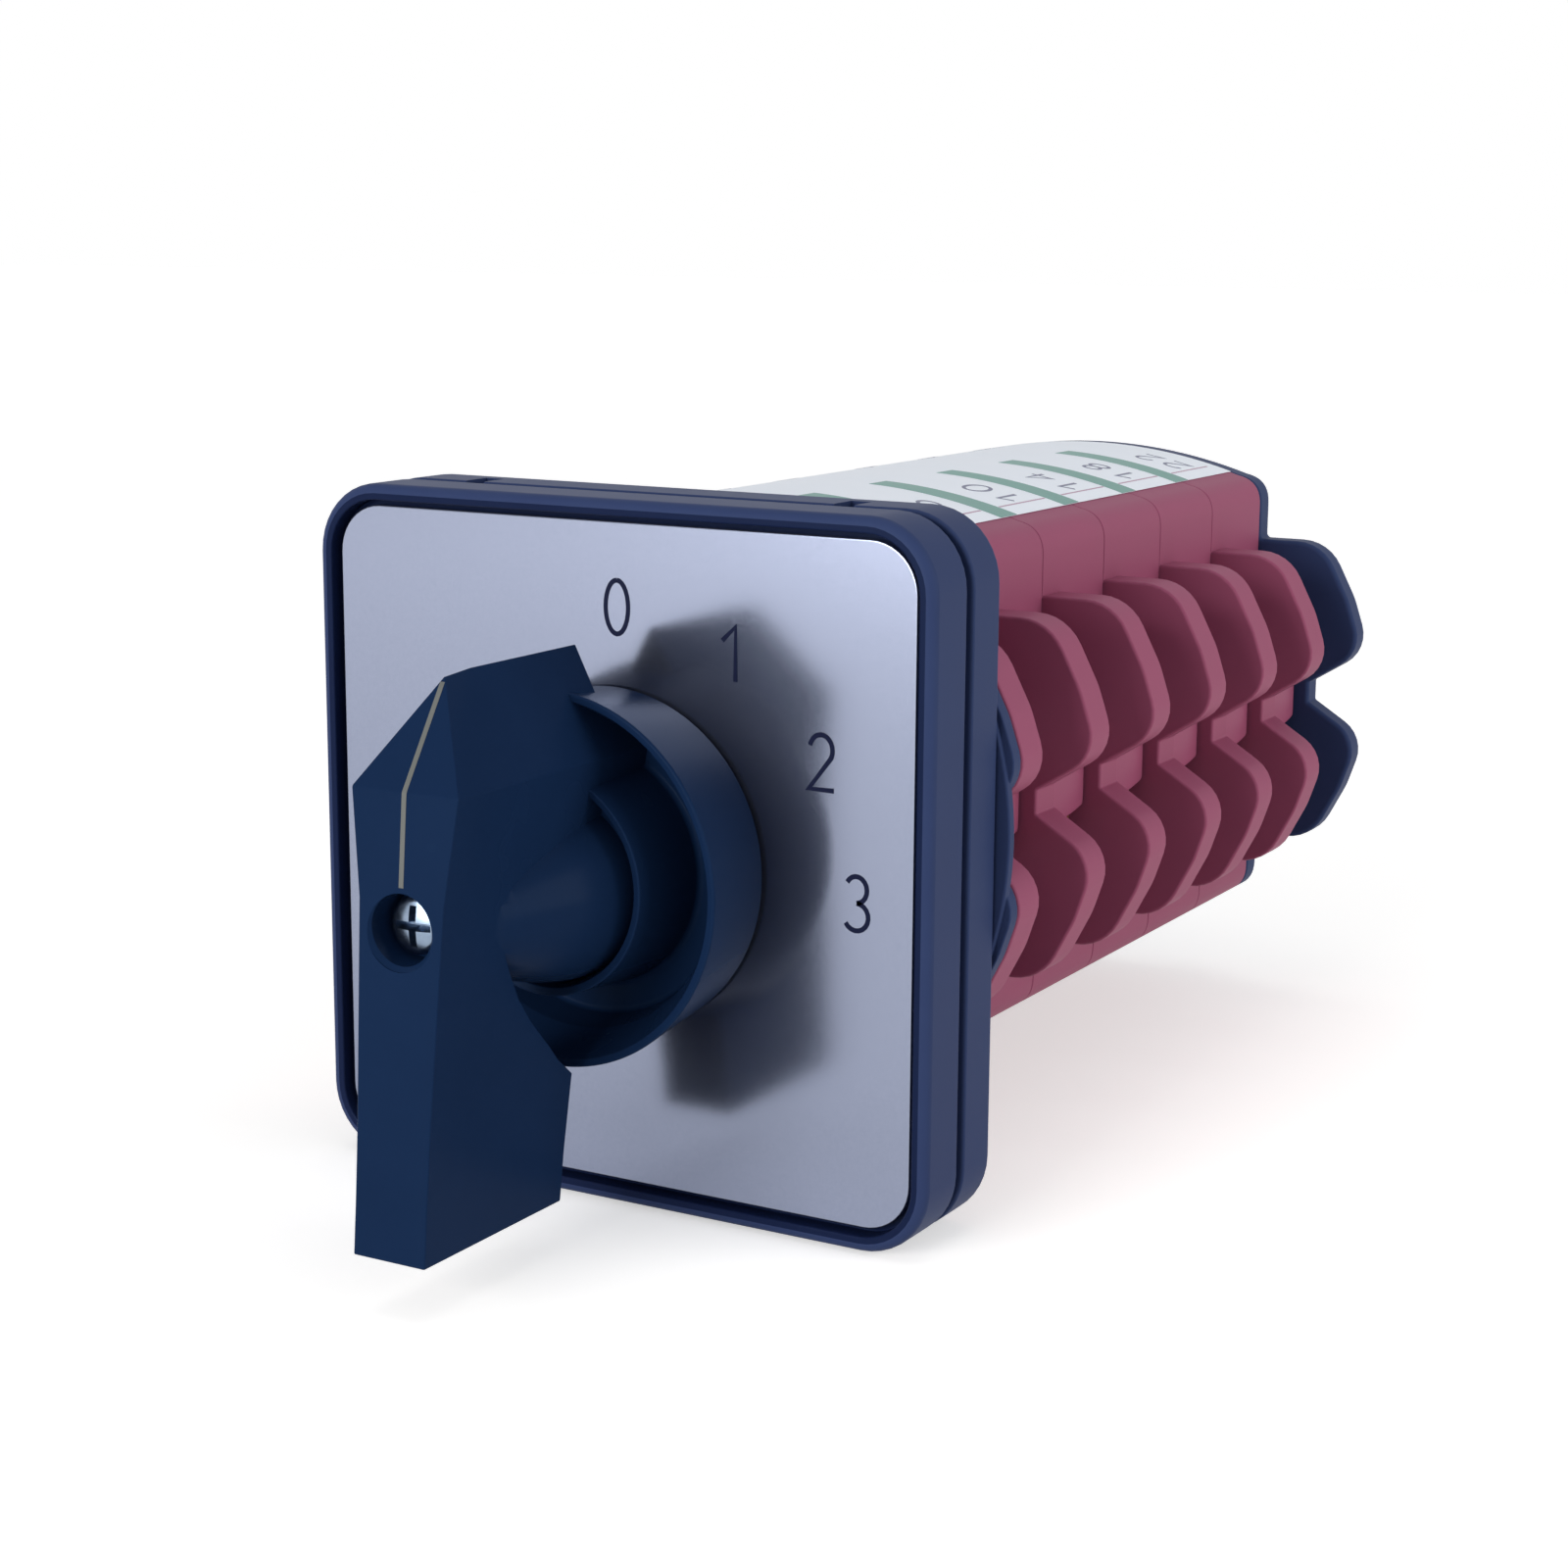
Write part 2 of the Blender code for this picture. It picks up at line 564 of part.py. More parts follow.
def make_handle(mat):
    """Pointed bar on a dished drum, with the square socket, the screw well and the pointer groove."""
    top = NOSE_HEIGHT * 1.05
    plan = [(-GRIP_TAIL_HALF, -GRIP_TAIL), (GRIP_TAIL_HALF, -GRIP_TAIL)]
    right = [(GRIP_TAIL_HALF, -GRIP_TAIL * 0.7), (GRIP_WAIST_HALF, GRIP_KNEE_HEIGHT * 0.2),
             (GRIP_KNEE_HALF, GRIP_KNEE_HEIGHT)]
    plan = plan + right + [(0.0, NOSE_HEIGHT)] + mirrored(right)
    item = put("handle", prism(plan, -2 * GRIP_FRONT, DRUM_REAR), mat)
    inner = DRUM_REAR - DISH_DEPTH
    profile = [(grip_front(-GRIP_TAIL), -GRIP_TAIL), (-TAIL_REAR - GRIP_LEAN * GRIP_TAIL / 2, -GRIP_TAIL),
               (-TAIL_REAR, -DRUM_RADIUS * 1.03), (-DRUM_FRONT - DISH_DEPTH, -DRUM_RADIUS + RIM_WIDTH),
               (inner, -DRUM_RADIUS + 2 * RIM_WIDTH), (inner, DRUM_RADIUS - RIM_WIDTH),
               (inner - RUN_GAP, DRUM_RADIUS + RUN_GAP), (-NOSE_REAR, NOSE_HEIGHT), (-NOSE_REAR, top),
               (grip_front(top), top), (grip_front(GRIP_KNEE_HEIGHT), GRIP_KNEE_HEIGHT)]
    combine(item, [side_prism(profile, 2 * GRIP_KNEE_HALF)], "INTERSECT")
    apex = NOSE_HEIGHT - 0.3 * RIM_WIDTH
    for side in (1, -1):
        knee = Vector((side * GRIP_KNEE_HALF, grip_front(GRIP_KNEE_HEIGHT), GRIP_KNEE_HEIGHT))
        low = Vector((0.0, grip_front(apex), apex))
        ridge = Vector((0.0, grip_front(NOSE_HEIGHT) + 0.35 * NOSE_HEIGHT / 2, NOSE_HEIGHT))
        normal = (low - knee).cross(ridge - knee).normalized()
        if normal.x * side < 0:
            normal.negate()
        cut_plane(item, knee, normal)
    rim = DRUM_RADIUS - RIM_WIDTH
    boss_end = -GRIP_FRONT + SCREW_WELL_DEPTH
    reach = -DRUM_FRONT - DISH_DEPTH - boss_end
    drum = [(0.0, STAR_FRONT - SEAT_GAP), (HUB_RADIUS, STAR_FRONT - SEAT_GAP), (HUB_RADIUS, DRUM_REAR),
            (DRUM_RADIUS, DRUM_REAR), (DRUM_RADIUS, -DRUM_FRONT + RUN_GAP),
            (DRUM_RADIUS - RUN_GAP, -DRUM_FRONT),
            (rim, -DRUM_FRONT), (rim - DISH_DEPTH, -DRUM_FRONT + DISH_DEPTH),
            (BOSS_RADIUS + RUN_GAP, -DRUM_FRONT), (BOSS_RADIUS, -DRUM_FRONT - DISH_DEPTH)]
    for part in (0.42, 0.78, 1.0):
        drum.append((BOSS_RADIUS - (BOSS_RADIUS - GRIP_WAIST_HALF) * part ** 1.6,
                     -DRUM_FRONT - DISH_DEPTH - reach * part))
    drum.append((0.0, boss_end))
    combine(item, [revolve(drum, 36)], "UNION")
    well = -GRIP_FRONT + SCREW_WELL_DEPTH
    cuts = [square_socket(-SHAFT_FRONT - SEAT_GAP, 0.0),
            prism(circle(SCREW_WELL_RADIUS, 20), -2 * GRIP_FRONT, well),
            prism(circle(HANDLE_SCREW_SHANK_RADIUS + HOLE_GAP, 12), well - SEAT_GAP, -SHAFT_FRONT),
            pointer_groove()]
    combine(item, cuts)
    return finish(item)


def pointer_groove():
    """Cutter along the bar's front, from the screw well over the knee to the nose."""
    heights = [SCREW_WELL_RADIUS - RUN_GAP, GRIP_KNEE_HEIGHT, NOSE_HEIGHT + RIM_WIDTH]
    outer = [(grip_front(z) - SCREW_WELL_RADIUS, z) for z in heights]
    inner = [(grip_front(z) + POINTER_GROOVE_DEPTH, z) for z in heights]
    return side_prism(outer + list(reversed(inner)), POINTER_GROOVE_WIDTH / 2)


def make_shaft(mat):
    """Square shaft from the handle's socket to the bearing in the end plate."""
    half = SHAFT_SIDE / 2
    item = put("shaft", prism(box_outline(-half, half, -half, half), -SHAFT_FRONT,
                              END_FRONT + SHAFT_END_LENGTH), mat)
    bore = prism(circle(HANDLE_SCREW_SHANK_RADIUS + HOLE_GAP, 12), -SHAFT_FRONT - HOLE_GAP,
                 -SHAFT_FRONT + HANDLE_SCREW_GRIP + SEAT_GAP)
    combine(item, [bore])
    return finish(item)


def make_handle_screw(mat):
    seat = -GRIP_FRONT + SCREW_WELL_DEPTH - SEAT_GAP
    item = screw_solid(HANDLE_SCREW_HEAD_RADIUS, HANDLE_SCREW_HEAD_HEIGHT, HANDLE_SCREW_SHANK_RADIUS,
                       -SHAFT_FRONT + HANDLE_SCREW_GRIP - seat)
    item.name = "handle_screw"
    item.data.transform(Matrix.Translation((0, seat, 0)))
    item.data.materials.append(mat)
    return finish(item)


def make_tie_bolts(mat):
    """Two long bolts with their nuts, from the latch cover through all sections to the end plate."""
    nut = END_REAR + SEAT_GAP
    length = nut + NUT_HEIGHT + BOLT_TAIL
    profile = [(0, -BOLT_HEAD_HEIGHT), (BOLT_HEAD_RADIUS, -BOLT_HEAD_HEIGHT), (BOLT_HEAD_RADIUS, 0),
               (BOLT_RADIUS, 0), (BOLT_RADIUS, length), (0, length)]
    bolts = []
    for name, (x, z) in zip(("tie_bolt_left", "tie_bolt_right"), bolt_places()):
        item = put(name, moved(revolve(profile, 12), x, 0.0, z), mat)
        combine(item, [prism(circle(NUT_RADIUS, 6, x, z), nut, nut + NUT_HEIGHT)], "UNION")
        bolts.append(finish(item))
    return bolts


def make_latch_cover(mat):
    """Round-sided flange with a step of the section outline, behind the panel."""
    step_y = COVER_FRONT + COVER_FLANGE
    item = put("latch_cover", prism(section_outline(barrier_wing()), COVER_FRONT + COVER_FLANGE / 2,
                                    COVER_REAR), mat)
    radius = max(x for x, z in barrier_wing()) + COVER_LIP
    reach = math.asin(BARRIER_TOP / radius)
    arc = []
    for i in range(9):
        angle = reach * (1 - i / 4)
        arc.append((radius * math.cos(angle), radius * math.sin(angle)))
    combine(item, [prism(section_outline(arc), COVER_FRONT, step_y)], "UNION")
    cuts = [prism(circle(CAM_HUB_RADIUS + RUN_GAP, 16), 0.0, BODY_FRONT)]
    cuts += holes(bolt_places(), BOLT_RADIUS + HOLE_GAP, 0.0, BODY_FRONT)
    cuts += holes(mount_screw_places(), MOUNT_SCREW_RADIUS + HOLE_GAP, 0.0, BODY_FRONT)
    combine(item, cuts)
    return finish(item)


def chamber_outline():
    """Hollow of a section: round cam chamber, plunger guides, contact chambers, terminal legs."""
    guide = PLUNGER_WIDTH / 2 + HOLE_GAP
    leg_inner = LEG_OUTER - TERMINAL_THICKNESS - SEAT_GAP
    spring_half = SPRING_RADIUS + SPRING_WIRE + 4 * RUN_GAP
    spring_top = SPRING_SEAT + SEAT_GAP
    first = math.asin(guide / CAM_CHAMBER)
    right = []
    strip = {1: BODY_RISE + RIB_HALF, -1: RIB_HALF - BODY_RISE}
    for sign in (1, -1):
        run = [(spring_half, spring_top), (spring_half, CHAMBER_TOP), (CHAMBER_HALF, CHAMBER_TOP),
               (CHAMBER_HALF, strip[sign]), (leg_inner, strip[sign]), (leg_inner, GUIDE_TOP),
               (guide, GUIDE_TOP)]
        if sign > 0:
            right += run
            for i in range(9):
                angle = first + (math.pi - 2 * first) * i / 8
                right.append((CAM_CHAMBER * math.sin(angle), CAM_CHAMBER * math.cos(angle)))
        else:
            right += [(x, -z) for x, z in reversed(run)]
    left = [(-x, z) for x, z in reversed(right)]
    return list(reversed(right + left))


def make_housings(mat):
    """Six equal mouldings, open at the rear; the first also takes the mounting screws."""
    template = put("housing", prism(section_outline(barrier_wing()), 0.0, SECTION_DEPTH), mat)
    wall = BODY_HALF_WIDTH + HOLE_GAP / 2
    far = BARRIER_TIP_X + SIDE_WALL
    high = BARRIER_TOP + SIDE_WALL
    cuts = []
    for low, top in ((BODY_RISE + RIB_HALF, BODY_RISE + high), (BODY_RISE - high, BODY_RISE - RIB_HALF)):
        pocket = box_outline(wall, far, low, top)
        cuts += [prism(pocket, BARRIER_THICKNESS, SECTION_PITCH),
                 prism(mirrored(pocket), BARRIER_THICKNESS, SECTION_PITCH)]
    near, tail = rib_profile(HOLE_GAP / 2), rib_profile(RIB_DRAFT)
    cuts += [loft(near, tail, BARRIER_THICKNESS, SECTION_PITCH),
             loft(mirrored(near), mirrored(tail), BARRIER_THICKNESS, SECTION_PITCH)]
    cuts += [prism(chamber_outline(), FRONT_WALL, SECTION_PITCH),
             prism(circle(CAM_HUB_RADIUS + RUN_GAP, 16), -FRONT_WALL, 2 * FRONT_WALL)]
    cuts += holes(bolt_places(), BOLT_RADIUS + HOLE_GAP, -FRONT_WALL, SECTION_PITCH)
    slot_front = POCKET_MIDDLE - TERMINAL_WIDTH / 2 - SEAT_GAP
    play = TERMINAL_THICKNESS + 2 * SEAT_GAP
    for side in (1, -1):
        for low in (BODY_RISE + RIB_HALF, BODY_RISE - RIB_HALF - play):
            x0, x1 = sorted((side * (CHAMBER_HALF - SEAT_GAP), side * (BODY_HALF_WIDTH + RIB_DRAFT)))
            cuts.append(prism(box_outline(x0, x1, low, low + play), slot_front, SECTION_PITCH))
        bore = prism(circle(TERMINAL_SCREW_SHANK_RADIUS + HOLE_GAP, 8), -2 * RIB_HALF, 2 * RIB_HALF)
        cuts.append(moved(stand_up(bore, 1), side * TERMINAL_SCREW_X, POCKET_MIDDLE, BODY_RISE))
    combine(template, cuts)
    housings = []
    for number in range(1, SECTIONS + 1):
        mesh = template.data.copy()
        item = bpy.data.objects.new(f"section_housing_{number}", mesh)
        bpy.context.scene.collection.objects.link(item)
        item.location.y = BODY_FRONT + (number - 1) * SECTION_PITCH
        if number == 1:
            depth = MOUNT_SCREW_BITE + SEAT_GAP
            bores = holes(mount_screw_places(), MOUNT_SCREW_RADIUS + HOLE_GAP, -SEAT_GAP, depth)
            combine(item, [moved(bm, 0.0, BODY_FRONT, 0.0) for bm in bores])
        housings.append(finish(item))
    bpy.data.objects.remove(template, do_unlink=True)
    return housings


def cam_radius(angle):
    """Cam radius at an angle in degrees from +Z towards +X: two dwells joined by even ramps."""
    low, high = CAM_LOW - CAM_EXTRA, CAM_LOW + CAM_STROKE + CAM_EXTRA
    turn = math.degrees(TURN)
    angle = (angle - CAM_OVERRUN) % 360.0
    dwell = 180.0 - turn - 2 * CAM_OVERRUN
    ramp = turn + 2 * CAM_OVERRUN
    if angle <= dwell:
        return low
    if angle <= dwell + ramp:
        return low + (high - low) * (angle - dwell) / ramp
    if angle <= 180.0 + dwell:
        return high
    return high - (high - low) * (angle - 180.0 - dwell) / ramp


def make_cams(mat):
    """One cam per section; even ones are turned half round, so they close as odd ones open."""
    template = []
    for i in range(36):
        angle = 10.0 * i
        radius = cam_radius(angle)
        template.append((radius * math.sin(math.radians(angle)), radius * math.cos(math.radians(angle))))
    cams = []
    middle = POCKET_MIDDLE
    for number in range(1, SECTIONS + 1):
        half_turn = 1.0 if number % 2 else -1.0
        outline = [(half_turn * x, half_turn * z) for x, z in template]
        item = put(f"cam_{number}", prism(outline, middle - CAM_WIDTH / 2, middle + CAM_WIDTH / 2), mat)
        hub = prism(circle(CAM_HUB_RADIUS, 16), SEAT_GAP / 2, SECTION_PITCH - SEAT_GAP / 2)
        combine(item, [hub], "UNION")
        combine(item, [square_socket(-SEAT_GAP, SECTION_PITCH + SEAT_GAP)])
        item.location.y = BODY_FRONT + (number - 1) * SECTION_PITCH
        cams.append(finish(item))
    return cams


def starts_open(number, sign):
    """Whether the upper (1) or lower (-1) contact of a section is open in position 0."""
    return (number % 2 == 0) == (sign > 0)


def make_sliders(mat):
    """Moving contacts: a plastic follower with a narrow nose on the cam, and the bridge it carries.

    The bridge is a strip across the switch with a pad at each end, facing the fixed contacts.
    """
    half, tip, outer = PLUNGER_WIDTH / 2, PLUNGER_TIP / 2, PAD_INNER + PAD_LENGTH
    sliders = []
    for number in range(1, SECTIONS + 1):
        y = BODY_FRONT + (number - 1) * SECTION_PITCH
        for level, sign in (("upper", 1), ("lower", -1)):
            lift = CAM_STROKE if starts_open(number, sign) else 0.0
            bridge, nose = BRIDGE_CLOSED + lift, CAM_LOW + RUN_GAP + lift
            top = bridge + BRIDGE_THICKNESS / 2
            shape = [(-tip, nose), (tip, nose), (half, nose + PLUNGER_NOSE), (half, top), (-half, top),
                     (-half, nose + PLUNGER_NOSE)]
            right = [(PAD_INNER, bridge), (PAD_INNER, bridge - PAD_HEIGHT), (outer, bridge - PAD_HEIGHT),
                     (outer, bridge), (BRIDGE_HALF, bridge), (BRIDGE_HALF, bridge + BRIDGE_THICKNESS)]
            strip = right + [(-x, z) for x, z in reversed(right)]
            item = put(f"contact_slider_{number}_{level}",
                       prism([(x, sign * z) for x, z in shape], y + FRONT_WALL + RUN_GAP,
                             y + SECTION_PITCH - RUN_GAP), mat)
            middle = y + POCKET_MIDDLE
            combine(item, [prism([(x, sign * z) for x, z in strip], middle - BRIDGE_WIDTH / 2,
                                 middle + BRIDGE_WIDTH / 2)], "UNION")
            sliders.append(finish(item))
    return sliders


def make_terminal(side, sign):
    """Terminal for one corner: stepped strip through the wall, with its pad, saddle and screw."""
    low = sign * BODY_RISE + RIB_HALF + SEAT_GAP
    strip_top = low + TERMINAL_THICKNESS
    leg = LEG_OUTER - TERMINAL_THICKNESS
    shape = [(TERMINAL_REACH, low), (TERMINAL_REACH, strip_top), (LEG_OUTER, strip_top),
             (LEG_OUTER, STRIP_TOP),
             (PAD_INNER + PAD_LENGTH, STRIP_TOP), (PAD_INNER + PAD_LENGTH, STRIP_TOP + PAD_HEIGHT),
             (PAD_INNER, STRIP_TOP + PAD_HEIGHT), (PAD_INNER, STRIP_TOP), (TERMINAL_INNER, STRIP_TOP),
             (TERMINAL_INNER, STRIP_TOP - TERMINAL_THICKNESS), (leg, STRIP_TOP - TERMINAL_THICKNESS),
             (leg, low)]
    item = put("terminal", prism([(side * x, z) for x, z in shape], -TERMINAL_WIDTH / 2, TERMINAL_WIDTH / 2))
    half = SADDLE_SIDE / 2
    x = side * TERMINAL_SCREW_X
    saddle_top = strip_top + SADDLE_THICKNESS
    saddle_low = strip_top - TERMINAL_THICKNESS / 2
    saddle = prism(box_outline(x - half, x + half, saddle_low, saddle_top), -half, half)
    head_top = saddle_top + TERMINAL_SCREW_HEAD_HEIGHT
    profile = [(0, -head_top), (TERMINAL_SCREW_HEAD_RADIUS, -head_top),
               (TERMINAL_SCREW_HEAD_RADIUS, -saddle_top + SADDLE_THICKNESS / 2),
               (TERMINAL_SCREW_SHANK_RADIUS, -saddle_top + SADDLE_THICKNESS / 2),
               (TERMINAL_SCREW_SHANK_RADIUS, TERMINAL_SCREW_DEPTH - low + SEAT_GAP),
               (0, TERMINAL_SCREW_DEPTH - low + SEAT_GAP)]
    screw = moved(stand_up(revolve(profile, 10), 1), x, 0.0, 0.0)
    combine(item, [saddle, screw], "UNION")
    slot_floor = head_top - TERMINAL_SCREW_HEAD_HEIGHT * 0.45
    width = TERMINAL_SCREW_HEAD_RADIUS * 0.16
    combine(item, [prism(box_outline(x - half, x + half, slot_floor, head_top + half), -width, width)])
    if sign < 0:
        bm = bmesh.new()
        bm.from_mesh(item.data)
        bmesh.ops.scale(bm, vec=(1, 1, -1), verts=bm.verts)
        bmesh.ops.reverse_faces(bm, faces=bm.faces)
        bm.to_mesh(item.data)
        bm.free()
    return item


def make_terminals(mat):
    """Four terminals in every section, each shape shared by the six copies along the body."""
    terminals = []
    for side, hand in ((1, "right"), (-1, "left")):
        for sign, level in ((1, "upper"), (-1, "lower")):
            template = make_terminal(side, sign)
            template.data.materials.append(mat)
            for number, y in enumerate(pocket_stations(), 1):
                item = bpy.data.objects.new(f"terminal_{number}_{level}_{hand}", template.data)
                bpy.context.scene.collection.objects.link(item)
                item.location.y = y
                terminals.append(finish(item))
            bpy.data.objects.remove(template, do_unlink=True)
    return terminals


def pocket_stations():
    return [BODY_FRONT + i * SECTION_PITCH + POCKET_MIDDLE for i in range(SECTIONS)]


def make_end_plate(mat):
    """Rear plate with the section outline, a bearing for the shaft and four bolt holes."""
    item = put("end_plate", prism(section_outline(barrier_wing()), END_FRONT, END_REAR), mat)
    boss = prism(circle(END_BOSS_RADIUS, 28), END_REAR - END_THICKNESS / 2, END_REAR + END_BOSS_HEIGHT)
    combine(item, [boss], "UNION")
    bearing = SHAFT_SIDE / math.sqrt(2) + RUN_GAP
    cuts = [prism(circle(bearing, 16), END_FRONT - RUN_GAP, END_FRONT + SHAFT_END_LENGTH + RUN_GAP)]
    cuts += holes(bolt_places(), BOLT_RADIUS + HOLE_GAP, END_FRONT - RUN_GAP, END_REAR + END_THICKNESS)
    combine(item, cuts)
    return finish(item)


def build():
    clear_scene()
    black = material("black_plastic", (0.018, 0.021, 0.028), 0.42)
    grip_black = material("handle_plastic", (0.012, 0.014, 0.020), 0.36)
    red = material("red_moulding", (0.33, 0.085, 0.105), 0.55)
    silver = material("brushed_plate", (0.62, 0.63, 0.66), 0.32, 1.0)
    zinc = material("zinc_steel", (0.62, 0.63, 0.65), 0.30, 1.0)
    brass = material("contact_brass", (0.70, 0.52, 0.24), 0.35, 1.0)
    spring = material("spring_steel", (0.45, 0.46, 0.48), 0.35, 1.0)
    nylon = material("cam_nylon", (0.70, 0.68, 0.62), 0.5)
    make_front_frame(black)
    make_legend_plate(silver)
    make_base_plate(black)
    make_star_wheel(nylon)
    make_detent_spring(spring)
    make_shaft(zinc)
    make_handle(grip_black)
    make_handle_screw(zinc)
    make_tie_bolts(zinc)
    make_latch_cover(black)
    make_housings(red)
    make_cams(nylon)
    make_sliders(nylon)
    make_terminals(brass)
    make_end_plate(black)


build()
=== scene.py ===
# %% [markdown]
# # Rotary changeover switch
# A switch that hangs in a control panel by its square front. A pointed handle turns a steel shaft, and
# the shaft turns one cam in each of six red contact sections behind the panel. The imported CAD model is
# loaded first as a fixed frame. Each visible piece is then made again with fine edges, in the same place,
# and rides on the CAD body that it belongs to.

import math

import bmesh
import bpy
import numpy as np
from mathutils import Matrix, Quaternion, Vector


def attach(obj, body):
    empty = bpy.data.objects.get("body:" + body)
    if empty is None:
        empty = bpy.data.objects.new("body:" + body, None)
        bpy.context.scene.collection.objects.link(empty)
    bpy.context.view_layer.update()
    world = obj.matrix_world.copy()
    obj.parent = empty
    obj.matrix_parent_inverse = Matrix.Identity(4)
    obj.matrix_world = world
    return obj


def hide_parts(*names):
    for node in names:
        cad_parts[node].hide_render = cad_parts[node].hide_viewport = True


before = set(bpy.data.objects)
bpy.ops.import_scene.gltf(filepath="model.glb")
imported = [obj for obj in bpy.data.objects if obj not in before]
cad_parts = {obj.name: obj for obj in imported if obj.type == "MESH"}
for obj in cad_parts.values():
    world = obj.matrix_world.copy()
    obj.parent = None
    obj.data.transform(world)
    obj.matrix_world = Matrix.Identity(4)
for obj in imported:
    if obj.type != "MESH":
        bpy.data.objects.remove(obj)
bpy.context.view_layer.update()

# %% [markdown]
# All sizes below are in millimetres and are turned to metres in one place, where a mesh is made. X runs
# right as seen from the handle, Y into the switch, and Z up. The stations along Y are those of the CAD
# model, so that a piece needs no fitting.

# %% Sizes shared by several pieces
MM = 0.001
FACE_HALF = 32.0
FACE_CORNER = 6.5
FRAME_FRONT = -12.3
FRAME_REAR = -6.3
BASE_FRONT = -5.1
PLATE_FRONT = -11.5
PLATE_REAR = -10.45
BODY_RISE = 2.95
BODY_FRONT = 2.7
PITCH = 14.63
SECTIONS = 6
BARRIER = 4.2
END_FRONT = 90.48
END_REAR = 93.48
HUB_HOLE = 7.8
BOLT_PLACES = ((-14.0, BODY_RISE + 22.9), (14.0, BODY_RISE - 22.9))

# %% [markdown]
# A maker of moulds thinks in outlines and edge profiles, and so do these helpers. An outline is a closed
# ring of (x, z) points that runs counter-clockwise. A profile says how far the ring is inset at which Y.
# Carrying the ring along the profile gives a grid of points, and every four neighbours make a face.

# %% Outlines
def corner_arc(last, corner, after, steps, support=None):
    """Arc in place of a corner of (place, place, radius). It touches both edges, and its centre is on the
    line that halves the corner, radius / sin(half angle) away. With radius 0 the corner stays. support adds
    a point on each edge, that far past the arc."""
    here, radius = corner[:2], corner[2]
    if radius <= 0:
        return here[None]
    to_last = (last[:2] - here) / np.linalg.norm(last[:2] - here)
    to_next = (after[:2] - here) / np.linalg.norm(after[:2] - here)
    half = math.acos(np.clip(to_last @ to_next, -1, 1)) / 2
    reach = radius / math.tan(half)
    middle = (to_last + to_next) / np.linalg.norm(to_last + to_next)
    centre = here + middle * radius / math.sin(half)
    start = here + to_last * reach - centre
    end = here + to_next * reach - centre
    turn = math.atan2(start[0] * end[1] - start[1] * end[0], start @ end)
    angle = np.linspace(0, turn, steps + 1)[:, None]
    arc = centre + start * np.cos(angle) + np.array((-start[1], start[0])) * np.sin(angle)
    if support is None:
        return arc
    return np.concatenate([(here + to_last * (reach + support))[None], arc,
                           (here + to_next * (reach + support))[None]])


def fillet(corners, steps=6):
    """Closed outline through (x, z, radius) corners, each rounded by an arc of its radius."""
    corners = np.array(corners, float)
    neighbours = zip(np.roll(corners, 1, axis=0), corners, np.roll(corners, -1, axis=0))
    return np.concatenate([corner_arc(last, here, after, steps) for last, here, after in neighbours])


def rounded_square(half, radius, arc=10, side=10):
    """Square ring with round corners. Each side also gets points at even angles round the middle, so that
    a ring round a hole can be joined to it face by face."""
    flat = half - radius
    lean = np.linspace(-1, 1, side + 2)[1:-1] * math.atan(flat / half)
    turn = np.linspace(0, math.pi / 2, arc + 1)
    one = np.concatenate([np.stack([np.full(side, half), half * np.tan(lean)], axis=1),
                          np.stack([flat + radius * np.cos(turn), flat + radius * np.sin(turn)], axis=1)])
    quarter = [one, one[:, ::-1] * (-1, 1), -one, one[:, ::-1] * (1, -1)]
    return np.concatenate(quarter)


def mitres(outline):
    """For each corner of a closed outline, the move that insets both of its edges by one millimetre: the
    sum of the two inward normals, divided by one plus the cosine between them."""
    ahead = np.roll(outline, -1, axis=0) - outline
    ahead = ahead / np.linalg.norm(ahead, axis=1, keepdims=True)
    inward = np.stack([-ahead[:, 1], ahead[:, 0]], axis=1)
    last = np.roll(inward, 1, axis=0)
    return (inward + last) / (1 + np.sum(inward * last, axis=1))[:, None]


square = rounded_square(FACE_HALF, FACE_CORNER)
print("points round the front", len(square))

# %% [markdown]
# A sharp edge looks false, because every moulded or milled edge is a little round and catches light. So a
# profile is given by its corners with a radius for each, and a grid is made from it in one array.

# %% Profiles and grids
def edge_profile(corners, steps=4, support=0.04):
    """Open path through (inset, y, radius) corners with each corner rounded. One more point stands just
    past each arc, so that the flat beside it shades flat."""
    corners = np.array(corners, float)
    inner = [corner_arc(last, here, after, steps, support)
             for last, here, after in zip(corners, corners[1:], corners[2:])]
    return np.concatenate([corners[:1, :2], *inner, corners[-1:, :2]])


def slab_profile(y_front, y_rear, edge, rear_edge=None):
    """Profile of a slab: in over the front edge, along the side, and in over the rear edge."""
    rear_edge = edge if rear_edge is None else rear_edge
    return edge_profile([(edge + 0.1, y_front, 0), (0, y_front, edge), (0, y_rear, rear_edge),
                         (rear_edge + 0.1, y_rear, 0)])


def carried(outline, profile):
    """Grid of points: row i is the outline at y = profile[i, 1], inset by profile[i, 0] at its mitres."""
    plan = outline[None] + profile[:, 0, None, None] * mitres(outline)[None]
    y = np.broadcast_to(profile[:, 1, None], plan.shape[:2])
    return np.stack([plan[..., 0], y, plan[..., 1]], axis=-1)


def turned(profile, sides, x=0.0, z=0.0):
    """Grid of points: row i is a circle of radius profile[i, 0] at y = profile[i, 1], round (x, z)."""
    angle = np.arange(sides) * 2 * math.pi / sides
    radius, y = np.array(profile, float).T[:, :, None]
    return np.stack([x + radius * np.cos(angle), y + 0 * angle, z + radius * np.sin(angle)], axis=-1)


